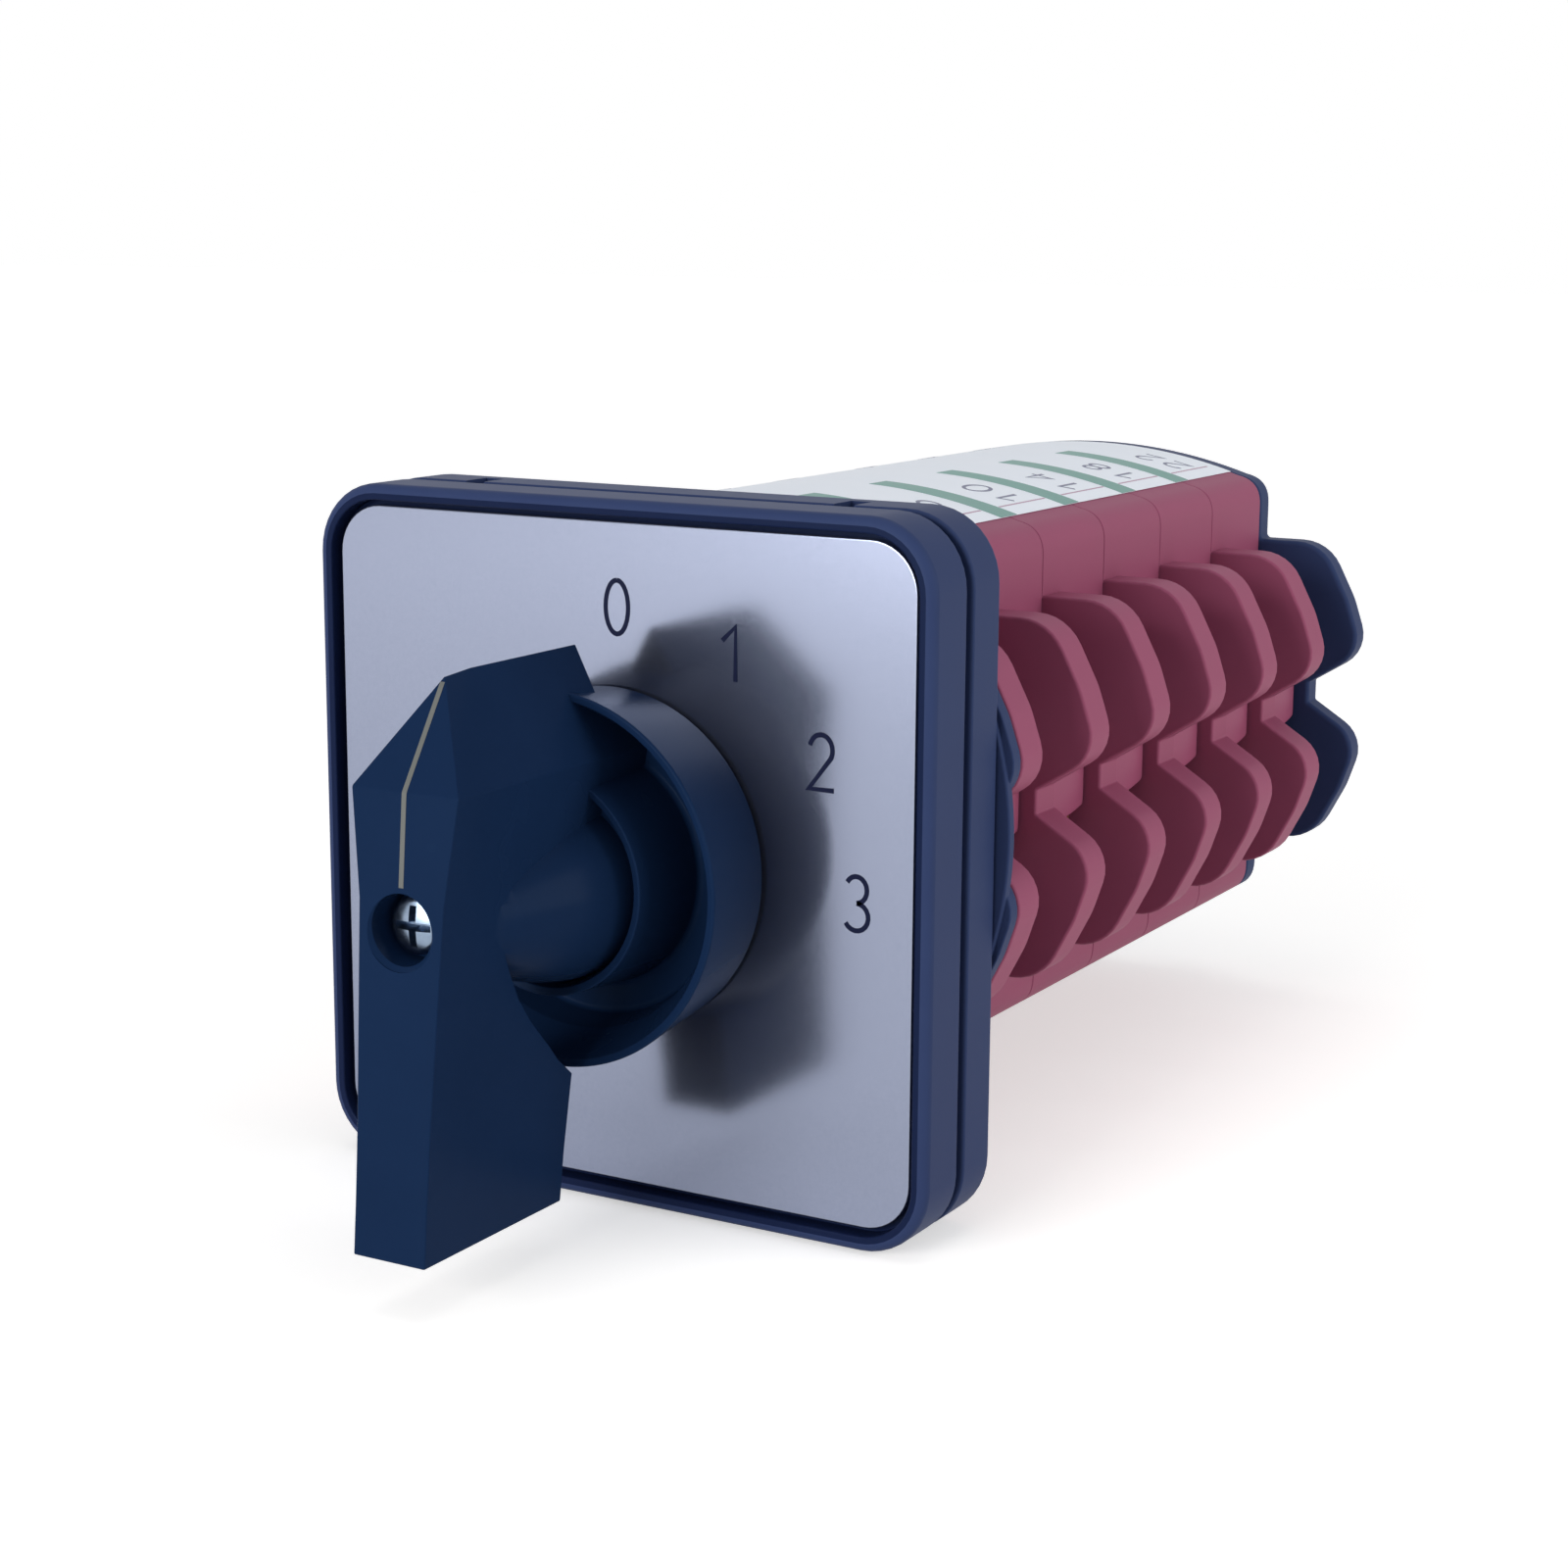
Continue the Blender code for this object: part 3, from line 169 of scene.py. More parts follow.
def grid_faces(rows, columns, closed=True):
    """Corner numbers of each quad of a grid whose points are numbered row by row. A closed grid joins its
    last column to its first."""
    around = columns if closed else columns - 1
    row, column = np.meshgrid(np.arange(rows - 1), np.arange(around), indexing="ij")
    beside = (column + 1) % columns
    corners = [row * columns + column, row * columns + beside,
               (row + 1) * columns + beside, (row + 1) * columns + column]
    return np.stack(corners, axis=-1).reshape(-1, 4).tolist()


# %% [markdown]
# A grid becomes a mesh in one step. Its end rows are closed by flat caps, points that coincide are merged,
# and the faces are turned outwards. Where a real tool would drill or mill, a Boolean does it. Flats are
# kept flat in the shading by weighting each corner's normal by the size of the faces round it.

# %% Meshes
def added(name, data):
    """New object in the scene that holds some data, such as a mesh or a lamp."""
    item = bpy.data.objects.new(name, data)
    bpy.context.scene.collection.objects.link(item)
    return item


def solid(name, grid, caps=True):
    """Mesh object from one grid of points in millimetres, with its first and last row capped."""
    rows, columns = grid.shape[:2]
    faces = grid_faces(rows, columns)
    if caps:
        faces += [list(range(columns)), list(range((rows - 1) * columns, rows * columns))]
    return from_faces(name, grid.reshape(-1, 3), faces)


def from_faces(name, points, faces):
    """Mesh object from points in millimetres and faces, merged and with its normals outwards."""
    mesh = bpy.data.meshes.new(name)
    mesh.from_pydata((np.asarray(points, float) * MM).tolist(), [], faces)
    bm = bmesh.new()
    bm.from_mesh(mesh)
    bmesh.ops.remove_doubles(bm, verts=bm.verts, dist=1e-6)
    bmesh.ops.dissolve_degenerate(bm, edges=bm.edges, dist=1e-7)
    bmesh.ops.recalc_face_normals(bm, faces=bm.faces)
    bm.to_mesh(mesh)
    bm.free()
    return added(name, mesh)


def apply_modifiers(piece):
    """Make a piece's modifiers part of its mesh."""
    bpy.context.view_layer.update()
    mesh = bpy.data.meshes.new_from_object(piece.evaluated_get(bpy.context.evaluated_depsgraph_get()))
    piece.modifiers.clear()
    piece.data = mesh


def work(piece, tools, operation="DIFFERENCE"):
    """Cut each tool out of the piece, or join it on, and take the tool away."""
    for tool in tools:
        step = piece.modifiers.new("work", "BOOLEAN")
        step.operation = operation
        step.solver = "EXACT"
        step.object = tool
        apply_modifiers(piece)
        bpy.data.objects.remove(tool, do_unlink=True)


def prism(outline, y_front, y_rear):
    """Plain straight tool: the outline at two stations along Y."""
    return solid("tool", carried(np.asarray(outline, float), np.array([(0, y_front), (0, y_rear)])))


def drill(radius, y_front, y_rear, sides, x=0.0, z=0.0):
    """Plain round tool between two stations along Y."""
    return solid("tool", turned([(radius, y_front), (radius, y_rear)], sides, x, z))


def box_outline(x0, x1, z0, z1):
    """Rectangle between two values of x and two of z. Each pair may come in either order."""
    (x0, x1), (z0, z1) = sorted((x0, x1)), sorted((z0, z1))
    return np.array([(x0, z0), (x1, z0), (x1, z1), (x0, z1)], float)


def dress(piece, materials, body, nodes=(), sharp=32):
    """Finish a piece: its materials, smooth shading with sharp edges past an angle in degrees, the body
    that it rides on, and the CAD nodes that it stands for."""
    for material in materials if isinstance(materials, (list, tuple)) else [materials]:
        piece.data.materials.append(material)
    piece.data.shade_smooth()
    piece.data.set_sharp_from_angle(angle=math.radians(sharp))
    weighted = piece.modifiers.new("flats stay flat", "WEIGHTED_NORMAL")
    weighted.keep_sharp = True
    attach(piece, body)
    if nodes:
        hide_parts(*nodes)


# %% [markdown]
# ## Finishes
# Colours are written as they would be picked from a screen and turned to linear light by one function.
# Every finish reads Object coordinates, which are the real metres of the model, so a grain of 0.2 mm is
# 0.2 mm on every piece.

# %% Colour and node helpers
def linear(code):
    """sRGB hex to linear light: below 0.04045 divide by 12.92, above it ((c + 0.055) / 1.055) ** 2.4."""
    value = np.array([int(code[i:i + 2], 16) for i in (1, 3, 5)]) / 255
    light = np.where(value <= 0.04045, value / 12.92, ((value + 0.055) / 1.055) ** 2.4)
    return (*light.tolist(), 1.0)


def node(tree, kind, inputs=None, **settings):
    """Add one node. inputs holds, for each of its sockets, a value or the output that feeds it."""
    item = tree.nodes.new(kind)
    for name, value in settings.items():
        setattr(item, name, value)
    for key, value in (inputs or {}).items():
        if isinstance(value, bpy.types.NodeSocket):
            tree.links.new(value, item.inputs[key])
        else:
            item.inputs[key].default_value = value
    return item


def finish_of(name, **values):
    """New material with a Principled shader set to plain values. The Object coordinates that are given back
    with it feed its patterns."""
    material = bpy.data.materials.new(name)
    material.use_nodes = True
    tree = material.node_tree
    shader = tree.nodes["Principled BSDF"]
    for key, value in values.items():
        shader.inputs[key.replace("_", " ")].default_value = value
    place = node(tree, "ShaderNodeTexCoord").outputs["Object"]
    return material, tree, shader, place


def per_mm(size):
    """Noise scale that gives features about this many millimetres wide."""
    return 1 / (size * MM)


def drift(tree, shader, field, dark, light, least, most):
    """Let a field from 0 to 1 run between two colours and between two roughnesses."""
    mix = node(tree, "ShaderNodeMix", {"Factor": field, "A": linear(dark), "B": linear(light)},
               data_type="RGBA")
    tree.links.new(mix.outputs["Result"], shader.inputs["Base Color"])
    spread = node(tree, "ShaderNodeMapRange", {"Value": field, "To Min": least, "To Max": most})
    tree.links.new(spread.outputs["Result"], shader.inputs["Roughness"])


def grained(tree, shader, field, strength, height):
    """Let a field from 0 to 1 stand up from the surface, by a height in millimetres where it is 1."""
    bump = node(tree, "ShaderNodeBump", {"Height": field, "Strength": strength, "Distance": height * MM})
    tree.links.new(bump.outputs["Normal"], shader.inputs["Normal"])


# %% [markdown]
# The front frame, base plate, cover and end plate are black glass-filled polyamide, moulded in a
# spark-eroded mould. That gives a fine dull grain that catches blue studio light. The drawn grain is
# 0.25 mm wide, a little coarser than the real one so that it shows. The handle is polished. The face of
# the frame's rim is polished too, and gets a darker copy of the black: its darker colour is painted shade.

# %% Black polyamide
def moulded(name, light, dark, grain, depth, **values):
    """Moulded plastic: a slow drift between two close colours, a roughness that drifts with it, and a fine
    bump. grain is the bump's width and depth its height, in millimetres."""
    material, tree, shader, place = finish_of(name, **values)
    cloud = node(tree, "ShaderNodeTexNoise",
                 {"Vector": place, "Scale": per_mm(9), "Detail": 3.0, "Roughness": 0.55})
    base = shader.inputs["Roughness"].default_value
    drift(tree, shader, cloud.outputs["Fac"], dark, light, base - 0.05, base + 0.06)
    fine = node(tree, "ShaderNodeTexNoise", {"Vector": place, "Scale": per_mm(grain), "Detail": 2.0})
    grained(tree, shader, fine.outputs["Fac"], 0.35, depth)
    return material


black_polyamide = moulded("black_polyamide", "#323e60", "#2c3759", 0.25, 0.012, Roughness=0.46,
                          Specular_IOR_Level=0.05, Specular_Tint=(0.6, 0.75, 1.0, 1.0))
handle_polyamide = moulded("handle_polyamide", "#152846", "#122440", 0.18, 0.005, Roughness=0.25,
                           Specular_IOR_Level=0.02, Specular_Tint=(0.7, 0.85, 1.0, 1.0))
# Finish of the rim's face: the low roughness is polish, and the darker colour is painted shade.
polish_and_shade_polyamide = moulded("polished_black_polyamide_painted_shade", "#17213f", "#141d39", 0.2, 0.004, Roughness=0.22,
                             Specular_IOR_Level=0.05, Specular_Tint=(0.6, 0.75, 1.0, 1.0))

# %% [markdown]
# The contact sections are a wine-red thermoset moulding, such as melamine. It is duller than polyamide, and
# flow in the mould leaves soft cloudy patches.

# %% Wine-red moulding
wine_moulding = moulded("wine_red_moulding", "#944c67", "#8b4660", 0.3, 0.012, Roughness=0.52,
                        Specular_IOR_Level=0.12)

# %% [markdown]
# The legend plate is thin aluminium with a satin anodised face. Fine blasting before the anodising leaves a
# grain with no direction, and the plate gives back a blurred picture of the handle.

# %% Satin aluminium
satin_aluminium, tree, shader, place = finish_of("satin_anodised_aluminium", Metallic=0.93)
blasted = node(tree, "ShaderNodeTexNoise",
               {"Vector": place, "Scale": per_mm(0.3), "Detail": 3.0, "Roughness": 0.7})
drift(tree, shader, blasted.outputs["Fac"], "#868da2", "#9198ad", 0.13, 0.19)
grained(tree, shader, blasted.outputs["Fac"], 0.15, 0.006)

# %% [markdown]
# Screws, bolts and saddles are steel with a bright zinc coat, the strips are rolled brass, and the leaf
# spring is hardened steel with a darker skin. All are metal, so they differ in colour, roughness and grain.

# %% Metals
def metal(name, light, dark, rough, grain):
    """Bare or plated metal: two close tones and a roughness that both follow one noise."""
    material, tree, shader, place = finish_of(name, Metallic=1.0)
    skin = node(tree, "ShaderNodeTexNoise",
                {"Vector": place, "Scale": per_mm(grain), "Detail": 4.0, "Roughness": 0.6})
    drift(tree, shader, skin.outputs["Fac"], dark, light, rough - 0.07, rough + 0.07)
    grained(tree, shader, skin.outputs["Fac"], 0.2, 0.008)
    return material


zinc_steel = metal("zinc_plated_steel", "#dfe2e8", "#c3c8d2", 0.27, 0.4)
rolled_brass = metal("rolled_brass", "#d9b878", "#c6a05c", 0.3, 0.6)
screw_steel = metal("blue_zinc_plated_steel", "#94a4b8", "#76869c", 0.24, 0.5)
spring_steel = metal("hardened_spring_steel", "#a9abb0", "#8d9096", 0.33, 0.5)

# %% [markdown]
# Cams and plungers are white acetal, a waxy plastic that lets a little light in. The label is white film,
# and its stripes, numbers and lines are printed. The pointer line on the handle is enamel paint.

# %% Acetal, label film, inks and paint
acetal = moulded("white_acetal", "#dcd8cc", "#d2cec2", 0.4, 0.005, Roughness=0.4)
label_film = moulded("white_label_film", "#f2f5fa", "#eaeff6", 0.5, 0.003, Roughness=0.42,
                      Specular_IOR_Level=0.2)
green_ink = moulded("green_printing_ink", "#5f9389", "#578980", 0.5, 0.003, Roughness=0.45)
grey_ink = moulded("grey_printing_ink", "#6f7288", "#62657c", 0.4, 0.003, Roughness=0.5)
line_ink = moulded("rose_printing_ink", "#b795a8", "#ab889c", 0.4, 0.003, Roughness=0.5)
digit_ink = moulded("dark_digit_enamel", "#161b36", "#12172f", 0.3, 0.004, Roughness=0.4,
                     Specular_IOR_Level=0.05)
pointer_paint = moulded("pale_pointer_enamel", "#6c6d6b", "#62645f", 0.3, 0.004, Roughness=0.4,
                         Specular_IOR_Level=0.1)
print("finishes", len(bpy.data.materials))

# %% [markdown]
# ## Front frame
# A square moulding with a round-edged rim, a pocket for the legend plate with a narrow groove left round
# it, and a skirt behind. It is one profile carried round the rounded square, and its web ends in a ring
# round the shaft hub. The rim's face gets the second finish: polished, with painted shade in its darker
# colour.

# %% Front frame
CORNERS = [(sx, sz) for sx in (-1, 1) for sz in (-1, 1)]
CLIP_X = 19.4
WEB_FRONT = -10.4
WEB_REAR = -8.9
POLISH_AND_SHADE_INSET = 0.8
POLISH_AND_SHADE_REAR = -10.0
frame_rim = edge_profile([
    (6.0, WEB_FRONT, 0), (1.45, WEB_FRONT, 0.1), (1.45, FRAME_FRONT, 0.15), (0.0, FRAME_FRONT, 0.85),
    (0.0, FRAME_REAR, 0.25), (1.0, FRAME_REAR, 0.12), (1.0, -5.4, 0.15), (2.4, -5.4, 0.15),
    (2.4, WEB_REAR, 0.2), (6.0, WEB_REAR, 0)], 6)


def round_hub(outline, grid, y_front, y_rear, radius):
    """Put a ring of the hub hole in front of the grid's first row and behind its last, each point at the
    polar angle of the outline point that it is joined to."""
    angle = np.arctan2(outline[:, 1], outline[:, 0])
    hole = np.stack([radius * np.cos(angle), 0 * angle, radius * np.sin(angle)], axis=1)
    first, last = hole + (0, y_front, 0), hole + (0, y_rear, 0)
    return np.concatenate([first[None], grid, last[None], first[None]])


frame_grid = round_hub(square, carried(square, frame_rim), WEB_FRONT, WEB_REAR, HUB_HOLE)
front_frame = solid("front_frame_moulding", frame_grid, caps=False)
clips = [prism(box_outline(sx * CLIP_X - 0.7, sx * CLIP_X + 0.7, sz * 29.6, sz * 31.0), -8.0, -2.1)
         for sx, sz in CORNERS]
work(front_frame, clips, "UNION")
dress(front_frame, [black_polyamide, polish_and_shade_polyamide], "switch_body", ["front_frame"])
# Faces of the rim's front and pocket edge get the second finish, whose darker colour is painted shade.
centres = np.empty(len(front_frame.data.polygons) * 3)
front_frame.data.polygons.foreach_get("center", centres)
x, y, z = centres.reshape(-1, 3).T / MM
flat = FACE_HALF - FACE_CORNER
inset = FACE_CORNER - np.hypot(np.clip(abs(x) - flat, 0, None), np.clip(abs(z) - flat, 0, None))
polish_and_shade_faces = ((inset > POLISH_AND_SHADE_INSET) & (y < POLISH_AND_SHADE_REAR)).astype(np.int32)
front_frame.data.polygons.foreach_set("material_index", polish_and_shade_faces)
print("front frame faces", len(front_frame.data.polygons))

# %% [markdown]
# The legend plate lies in the frame's pocket. It is a slab with barely broken edges and the same hub hole.

# %% Legend plate
PLATE_HALF = 30.0
PLATE_CORNER = 4.5
plate_ring = rounded_square(PLATE_HALF, PLATE_CORNER)
plate = solid("legend_plate_sheet",
              round_hub(plate_ring, carried(plate_ring, slab_profile(PLATE_FRONT, PLATE_REAR, 0.14, 0.05)),
                        PLATE_FRONT, PLATE_REAR, HUB_HOLE), caps=False)
dress(plate, satin_aluminium, "switch_body", ["legend_plate"])

# %% [markdown]
# ## Position numbers
# The plate carries 0, 1, 2 and 3 where the handle points. Each number is a pen stroke: a path of points
# with a strip of even width carried along it, laid a few hundredths of a millimetre over the surface.

# %% Pen strokes for numbers
def bow(x, z, across, up, start, stop, steps=14):
    """Part of an ellipse from one angle to another, in degrees."""
    angle = np.radians(np.linspace(start, stop, steps))
    return np.stack([x + across * np.cos(angle), z + up * np.sin(angle)], axis=1)


def strokes(*points):
    """Straight pen strokes from point to point."""
    return np.array(points, float)


NUMBERS = {
    "0": [bow(0.5, 0.5, 0.5, 0.5, 90, 450, 29)],
    "1": [strokes((0.0, 0.73), (0.55, 1.0), (0.55, 0.0))],
    "2": [np.concatenate([bow(0.48, 0.72, 0.42, 0.28, 165, -28), strokes((0.04, 0.0), (0.96, 0.0))])],
    "3": [bow(0.46, 0.755, 0.4, 0.245, 150, -88), bow(0.46, 0.255, 0.46, 0.255, 88, -150)],
    "4": [strokes((0.72, 0.0), (0.72, 1.0), (0.02, 0.3), (1.0, 0.3))],
    "5": [np.concatenate([strokes((0.88, 1.0), (0.2, 1.0), (0.12, 0.55)),
                          bow(0.46, 0.32, 0.48, 0.32, 118, -140)])],
    "6": [np.concatenate([bow(1.02, 0.42, 1.0, 0.62, 112, 178),
                          bow(0.5, 0.31, 0.47, 0.31, 170, 530, 25)])],
    "7": [strokes((0.02, 1.0), (0.98, 1.0), (0.36, 0.0))],
    "8": [bow(0.5, 0.745, 0.38, 0.255, 0, 360, 23), bow(0.5, 0.25, 0.46, 0.25, 0, 360, 25)],
}
NUMBERS["9"] = [1.0 - stroke for stroke in NUMBERS["6"]]


def strip_along(path, width):
    """Edges of a strip of even width along an open path: each point moves half the width to either side,
    along the mean of the normals of the pieces of path before and after it."""
    ahead = np.diff(path, axis=0)
    ahead = ahead / np.linalg.norm(ahead, axis=1, keepdims=True)
    side = np.stack([-ahead[:, 1], ahead[:, 0]], axis=1)
    before, after = np.concatenate([side[:1], side]), np.concatenate([side, side[-1:]])
    mitre = (before + after) / np.maximum(1 + np.sum(before * after, axis=1), 0.5)[:, None]
    return path + mitre * width / 2, path - mitre * width / 2


def printed(name, paths, width, surface, thickness=0.03):
    """Strips on a surface, each with the cross-section of a low box. surface takes (n, 2) flat points and a
    height, and gives their place in the frame."""
    points, faces, count = [], [], 0
    for path in paths:
        left, right = strip_along(path, width)
        rows = [surface(left, 0.0), surface(left, thickness), surface(right, thickness), surface(right, 0.0)]
        points.append(np.stack(rows, axis=1).reshape(-1, 3))
        faces += (np.array(grid_faces(len(path), 4)) + count).tolist()
        count += 4 * len(path)
        faces += [[start + k for k in range(4)] for start in (count - 4 * len(path), count - 4)]
    return from_faces(name, np.concatenate(points), faces)


def on_plate(flat, height):
    """Plate face: flat points are (x, z), and height stands out towards the handle."""
    return np.stack([flat[:, 0], np.full(len(flat), PLATE_FRONT + 0.01 - height), flat[:, 1]], axis=1)


DIGIT_TALL = 4.75
DIGIT_STROKE = 0.44
DIGITS = (("0", 0.4, 22.5, 2.35), ("1", 12.4, 19.3, 2.4), ("2", 21.05, 10.75, 2.65),
          ("3", 24.65, -1.15, 2.55))
for text, x, z, wide in DIGITS:
    size = np.array((wide, DIGIT_TALL))
    paths = [(stroke - 0.5) * size + (x, z) for stroke in NUMBERS[text]]
    dress(printed(f"position_number_{text}", paths, DIGIT_STROKE, on_plate), digit_ink, "switch_body")

# %% [markdown]
# ## Base plate
# A second black square stands behind the frame with a dark groove between them. Small notches in its top
# and bottom edges take the frame's clips, a cup at its middle holds the star wheel, and four sunk holes
# take the panel screws. The panel bears on its rear face.

# %% Base plate
SHAFT_HOLE = 6.0
CUP_OUTER = 20.0
CUP_INNER = 18.0
HEAD_HOLE = 2.75
PANEL_SCREW = (26.6, 8.5)
sunk = [(3.5, -6.0), (3.5, -2.5), (2.2, -2.5), (2.2, 1.0)]
base_grid = carried(square, slab_profile(BASE_FRONT, 0.0, 0.3))
base_grid = round_hub(square, base_grid, BASE_FRONT, 0.0, SHAFT_HOLE)
base = solid("base_plate_moulding", base_grid, caps=False)
work(base, [drill(CUP_OUTER, -8.6, -1.4, 72)], "UNION")
tools = [drill(CUP_INNER, -9.5, -1.5, 72)]
tools += [prism(box_outline(sx * CLIP_X - 1.0, sx * CLIP_X + 1.0, sz * 29.3, sz * 33.0), -6.5, -1.8)
          for sx, sz in CORNERS]
tools += [drill(HEAD_HOLE, -2.3, 1.0, 36, x, z) for x, z in BOLT_PLACES]
tools += [solid("tool", turned(sunk, 32, sx * PANEL_SCREW[0], BODY_RISE + sz * PANEL_SCREW[1]))
          for sx, sz in CORNERS]
work(base, tools)
dress(base, black_polyamide, "switch_body", ["base_plate"])
print("base plate faces", len(base.data.polygons))

# %% [markdown]
# ## Section outline
# Seen along the shaft, each section has an arched top and bottom, round shoulders, upright sides, and a
# wing on each side with two lobes and a notch between them. The cover, the sections and the end plate
# share this outline, so it is worked out once.

# %% Outline of body and wings
SHOULDER = np.array((18.5, 24.3))
SIDE = np.array((21.2, 21.1))
ARCH_TOP = 27.2
ARCH_RADIUS = (SHOULDER[0] ** 2 + (ARCH_TOP - SHOULDER[1]) ** 2) / (2 * (ARCH_TOP - SHOULDER[1]))
WING_TOP = 17.15


def arch(x):
    """Height of the arched top over the body's middle: a wide circle through the top and the shoulders."""
    return ARCH_TOP - ARCH_RADIUS + np.sqrt(ARCH_RADIUS ** 2 - x ** 2)


def body_quarter():
    """Upper right quarter from the top's middle to the side: the arch, then a curve whose pull point lies
    where the side, carried on up, meets the line of the shoulder."""
    x = np.linspace(0, SHOULDER[0], 15)
    top = np.stack([x, arch(x)], axis=1)
    bend = np.array((SIDE[0], SHOULDER[1] - 0.15 * (SHOULDER[1] - SIDE[1])))
    t = np.linspace(0, 1, 11)[1:, None]
    return np.concatenate([top, (1 - t) ** 2 * SHOULDER + 2 * t * (1 - t) * bend + t ** 2 * SIDE])


NOTCH = 27.8
WING_HALF = [(28.7, WING_TOP, 5.0), (32.0, 10.8, 10.0), (33.95, 5.0, 3.8), (NOTCH, 1.15, 0.3)]


def wing(root, root_radius=0.0):
    """Right wing from its lower root to its upper one. A root radius rounds the corner with the body."""
    half = [(root, WING_TOP, root_radius)] + WING_HALF
    return [(x, -z, r) for x, z, r in half] + half[::-1]


def full_outline(middle=np.empty((0, 2))):
    """Arched body, counter-clockwise from the middle of the bottom. middle is what stands out on the right,
    from bottom to top, and the left half is the right one turned half round."""
    quarter = body_quarter()
    right = np.concatenate([quarter * (1, -1), middle, quarter[::-1]])
    return np.concatenate([right[:-1], -right[:-1]]) + (0, BODY_RISE)


wing_side = [(SIDE[0], -SIDE[1], 0)] + wing(SIDE[0], 0.5) + [(SIDE[0], SIDE[1], 0)]
section_ring = full_outline(fillet(wing_side)[1:-1])
print("section outline points", len(section_ring), "reach", section_ring.max(axis=0))

# %% [markdown]
# The black cover in front of the first section has round sides, which are arcs round the shaft, and a step
# of the section's outline. The end plate has that outline too, with a bearing boss in its middle.

# %% Latch cover and end plate
FLANGE_RADIUS = 33.2
BOLT_HOLE = 1.95
BOSS_RADIUS = 8.0
BOSS_REAR = 95.48
reach = math.asin(WING_TOP / FLANGE_RADIUS)
sweep = np.linspace(-reach, reach, 41)[:, None]
flange_ring = full_outline(FLANGE_RADIUS * np.concatenate([np.cos(sweep), np.sin(sweep)], axis=1))
cover = solid("latch_cover_flange", carried(flange_ring, slab_profile(0.3, 1.4, 0.2)))
work(cover, [solid("tool", carried(section_ring, slab_profile(0.9, 2.4, 0.15)))], "UNION")
bores = [drill(SHAFT_HOLE, -1.0, 4.0, 48)]
bores += [drill(BOLT_HOLE, -1.0, 4.0, 24, x, z) for x, z in BOLT_PLACES]
work(cover, bores)
dress(cover, black_polyamide, "switch_body", ["latch_cover"])

end_plate = solid("end_plate_moulding", carried(section_ring, slab_profile(END_FRONT, END_REAR, 0.45, 0.5)))
boss_side = edge_profile([(BOSS_RADIUS, 92.5, 0), (BOSS_RADIUS, BOSS_REAR, 0.5), (0, BOSS_REAR, 0)])
boss = np.concatenate([[(0, 92.0), (BOSS_RADIUS, 92.0)], boss_side])
work(end_plate, [solid("tool", turned(boss, 72))], "UNION")
dress(end_plate, black_polyamide, "switch_body", ["end_plate"])

# %% [markdown]
# ## Contact sections
# Each section is one red moulding, and all six are alike, so one is built and its mesh is copied along Y.
# It is an arched block, hollow inside, with a rounded barrier plate standing out on both sides at the
# front. A plain rib runs back from the notch of each barrier, between the two terminals.

# %% One contact section
SECTION = 14.33
RIB_HALF = 3.2
RIB_ROOT = 19.5


def rib_ring(draft):
    """Rib outline at one station: a block with round edges. draft takes its outer face in."""
    face = NOTCH - draft
    corners = [(RIB_ROOT, -RIB_HALF, 0), (face, -RIB_HALF, 0.7), (face, RIB_HALF, 0.7),
               (RIB_ROOT, RIB_HALF, 0)]
    return fillet(corners, 5) + (0, BODY_RISE)


def rib_grid():
    """Rib from inside the barrier to the rear: the draft grows with the 1.6th power of the way along."""
    along = np.linspace(0, 1, 13)
    stations = BARRIER - 0.6 + along * (SECTION - BARRIER + 0.5)
    return np.stack([np.insert(rib_ring(0.15 + 1.45 * t ** 1.6), 1, y, axis=1)
                     for t, y in zip(along, stations)])


wing_ring = fillet(wing(RIB_ROOT)) + (0, BODY_RISE)
barrier_grid = carried(wing_ring, slab_profile(0.02, BARRIER, 0.28, 0.2))
section = solid("section", carried(full_outline(), slab_profile(0.0, SECTION + 0.2, 0.12)))
parts = [solid("tool", grid * (side, 1, 1)) for grid in (barrier_grid, rib_grid()) for side in (1, -1)]
work(section, parts, "UNION")
print("section faces before the hollow", len(section.data.polygons))

# %% [markdown]
# A section is open at its rear. The cam turns in a round chamber, the plungers slide in a guide above and
# below it, and their bridges meet the fixed contacts in a wide chamber. Each contact's strip runs down a
# leg at the chamber's side and out through a slot in the wall.

# %% Hollow of a section
CHAMBER = 9.431
GUIDE = 2.3
GUIDE_TOP = 10.631
CONTACT_HALF = 18.9
CONTACT_TOP = 17.7
STRIP_THICK = 1.2
LEG = CONTACT_HALF - 0.3 - STRIP_THICK - 0.3
SLOT = (18.5, 21.9)
SLOT_TALL = 1.8
SLOT_FRONT = 5.6
CHAMBER_FLOOR = 2.0
PAST_REAR = 20.0
tools = [drill(CHAMBER, CHAMBER_FLOOR, PAST_REAR, 72), drill(SHAFT_HOLE, -1.0, 3.0, 48),
         prism(box_outline(-GUIDE, GUIDE, -20, 20), CHAMBER_FLOOR, PAST_REAR)]
for sign in (1, -1):
    chamber = box_outline(-CONTACT_HALF, CONTACT_HALF, sign * GUIDE_TOP, sign * CONTACT_TOP)
    tools.append(prism(chamber, CHAMBER_FLOOR, PAST_REAR))
    low = sign * RIB_HALF + BODY_RISE
    for side in (1, -1):
        leg = box_outline(side * LEG, side * CONTACT_HALF, low, sign * (GUIDE_TOP + 0.5))
        slot = box_outline(side * SLOT[0], side * SLOT[1], low, sign * (RIB_HALF + SLOT_TALL) + BODY_RISE)
        tools += [prism(leg, CHAMBER_FLOOR, PAST_REAR), prism(slot, SLOT_FRONT, PAST_REAR)]
tools += [drill(BOLT_HOLE, -1.0, PAST_REAR, 24, x, z) for x, z in BOLT_PLACES]
work(section, tools)
template = section.data
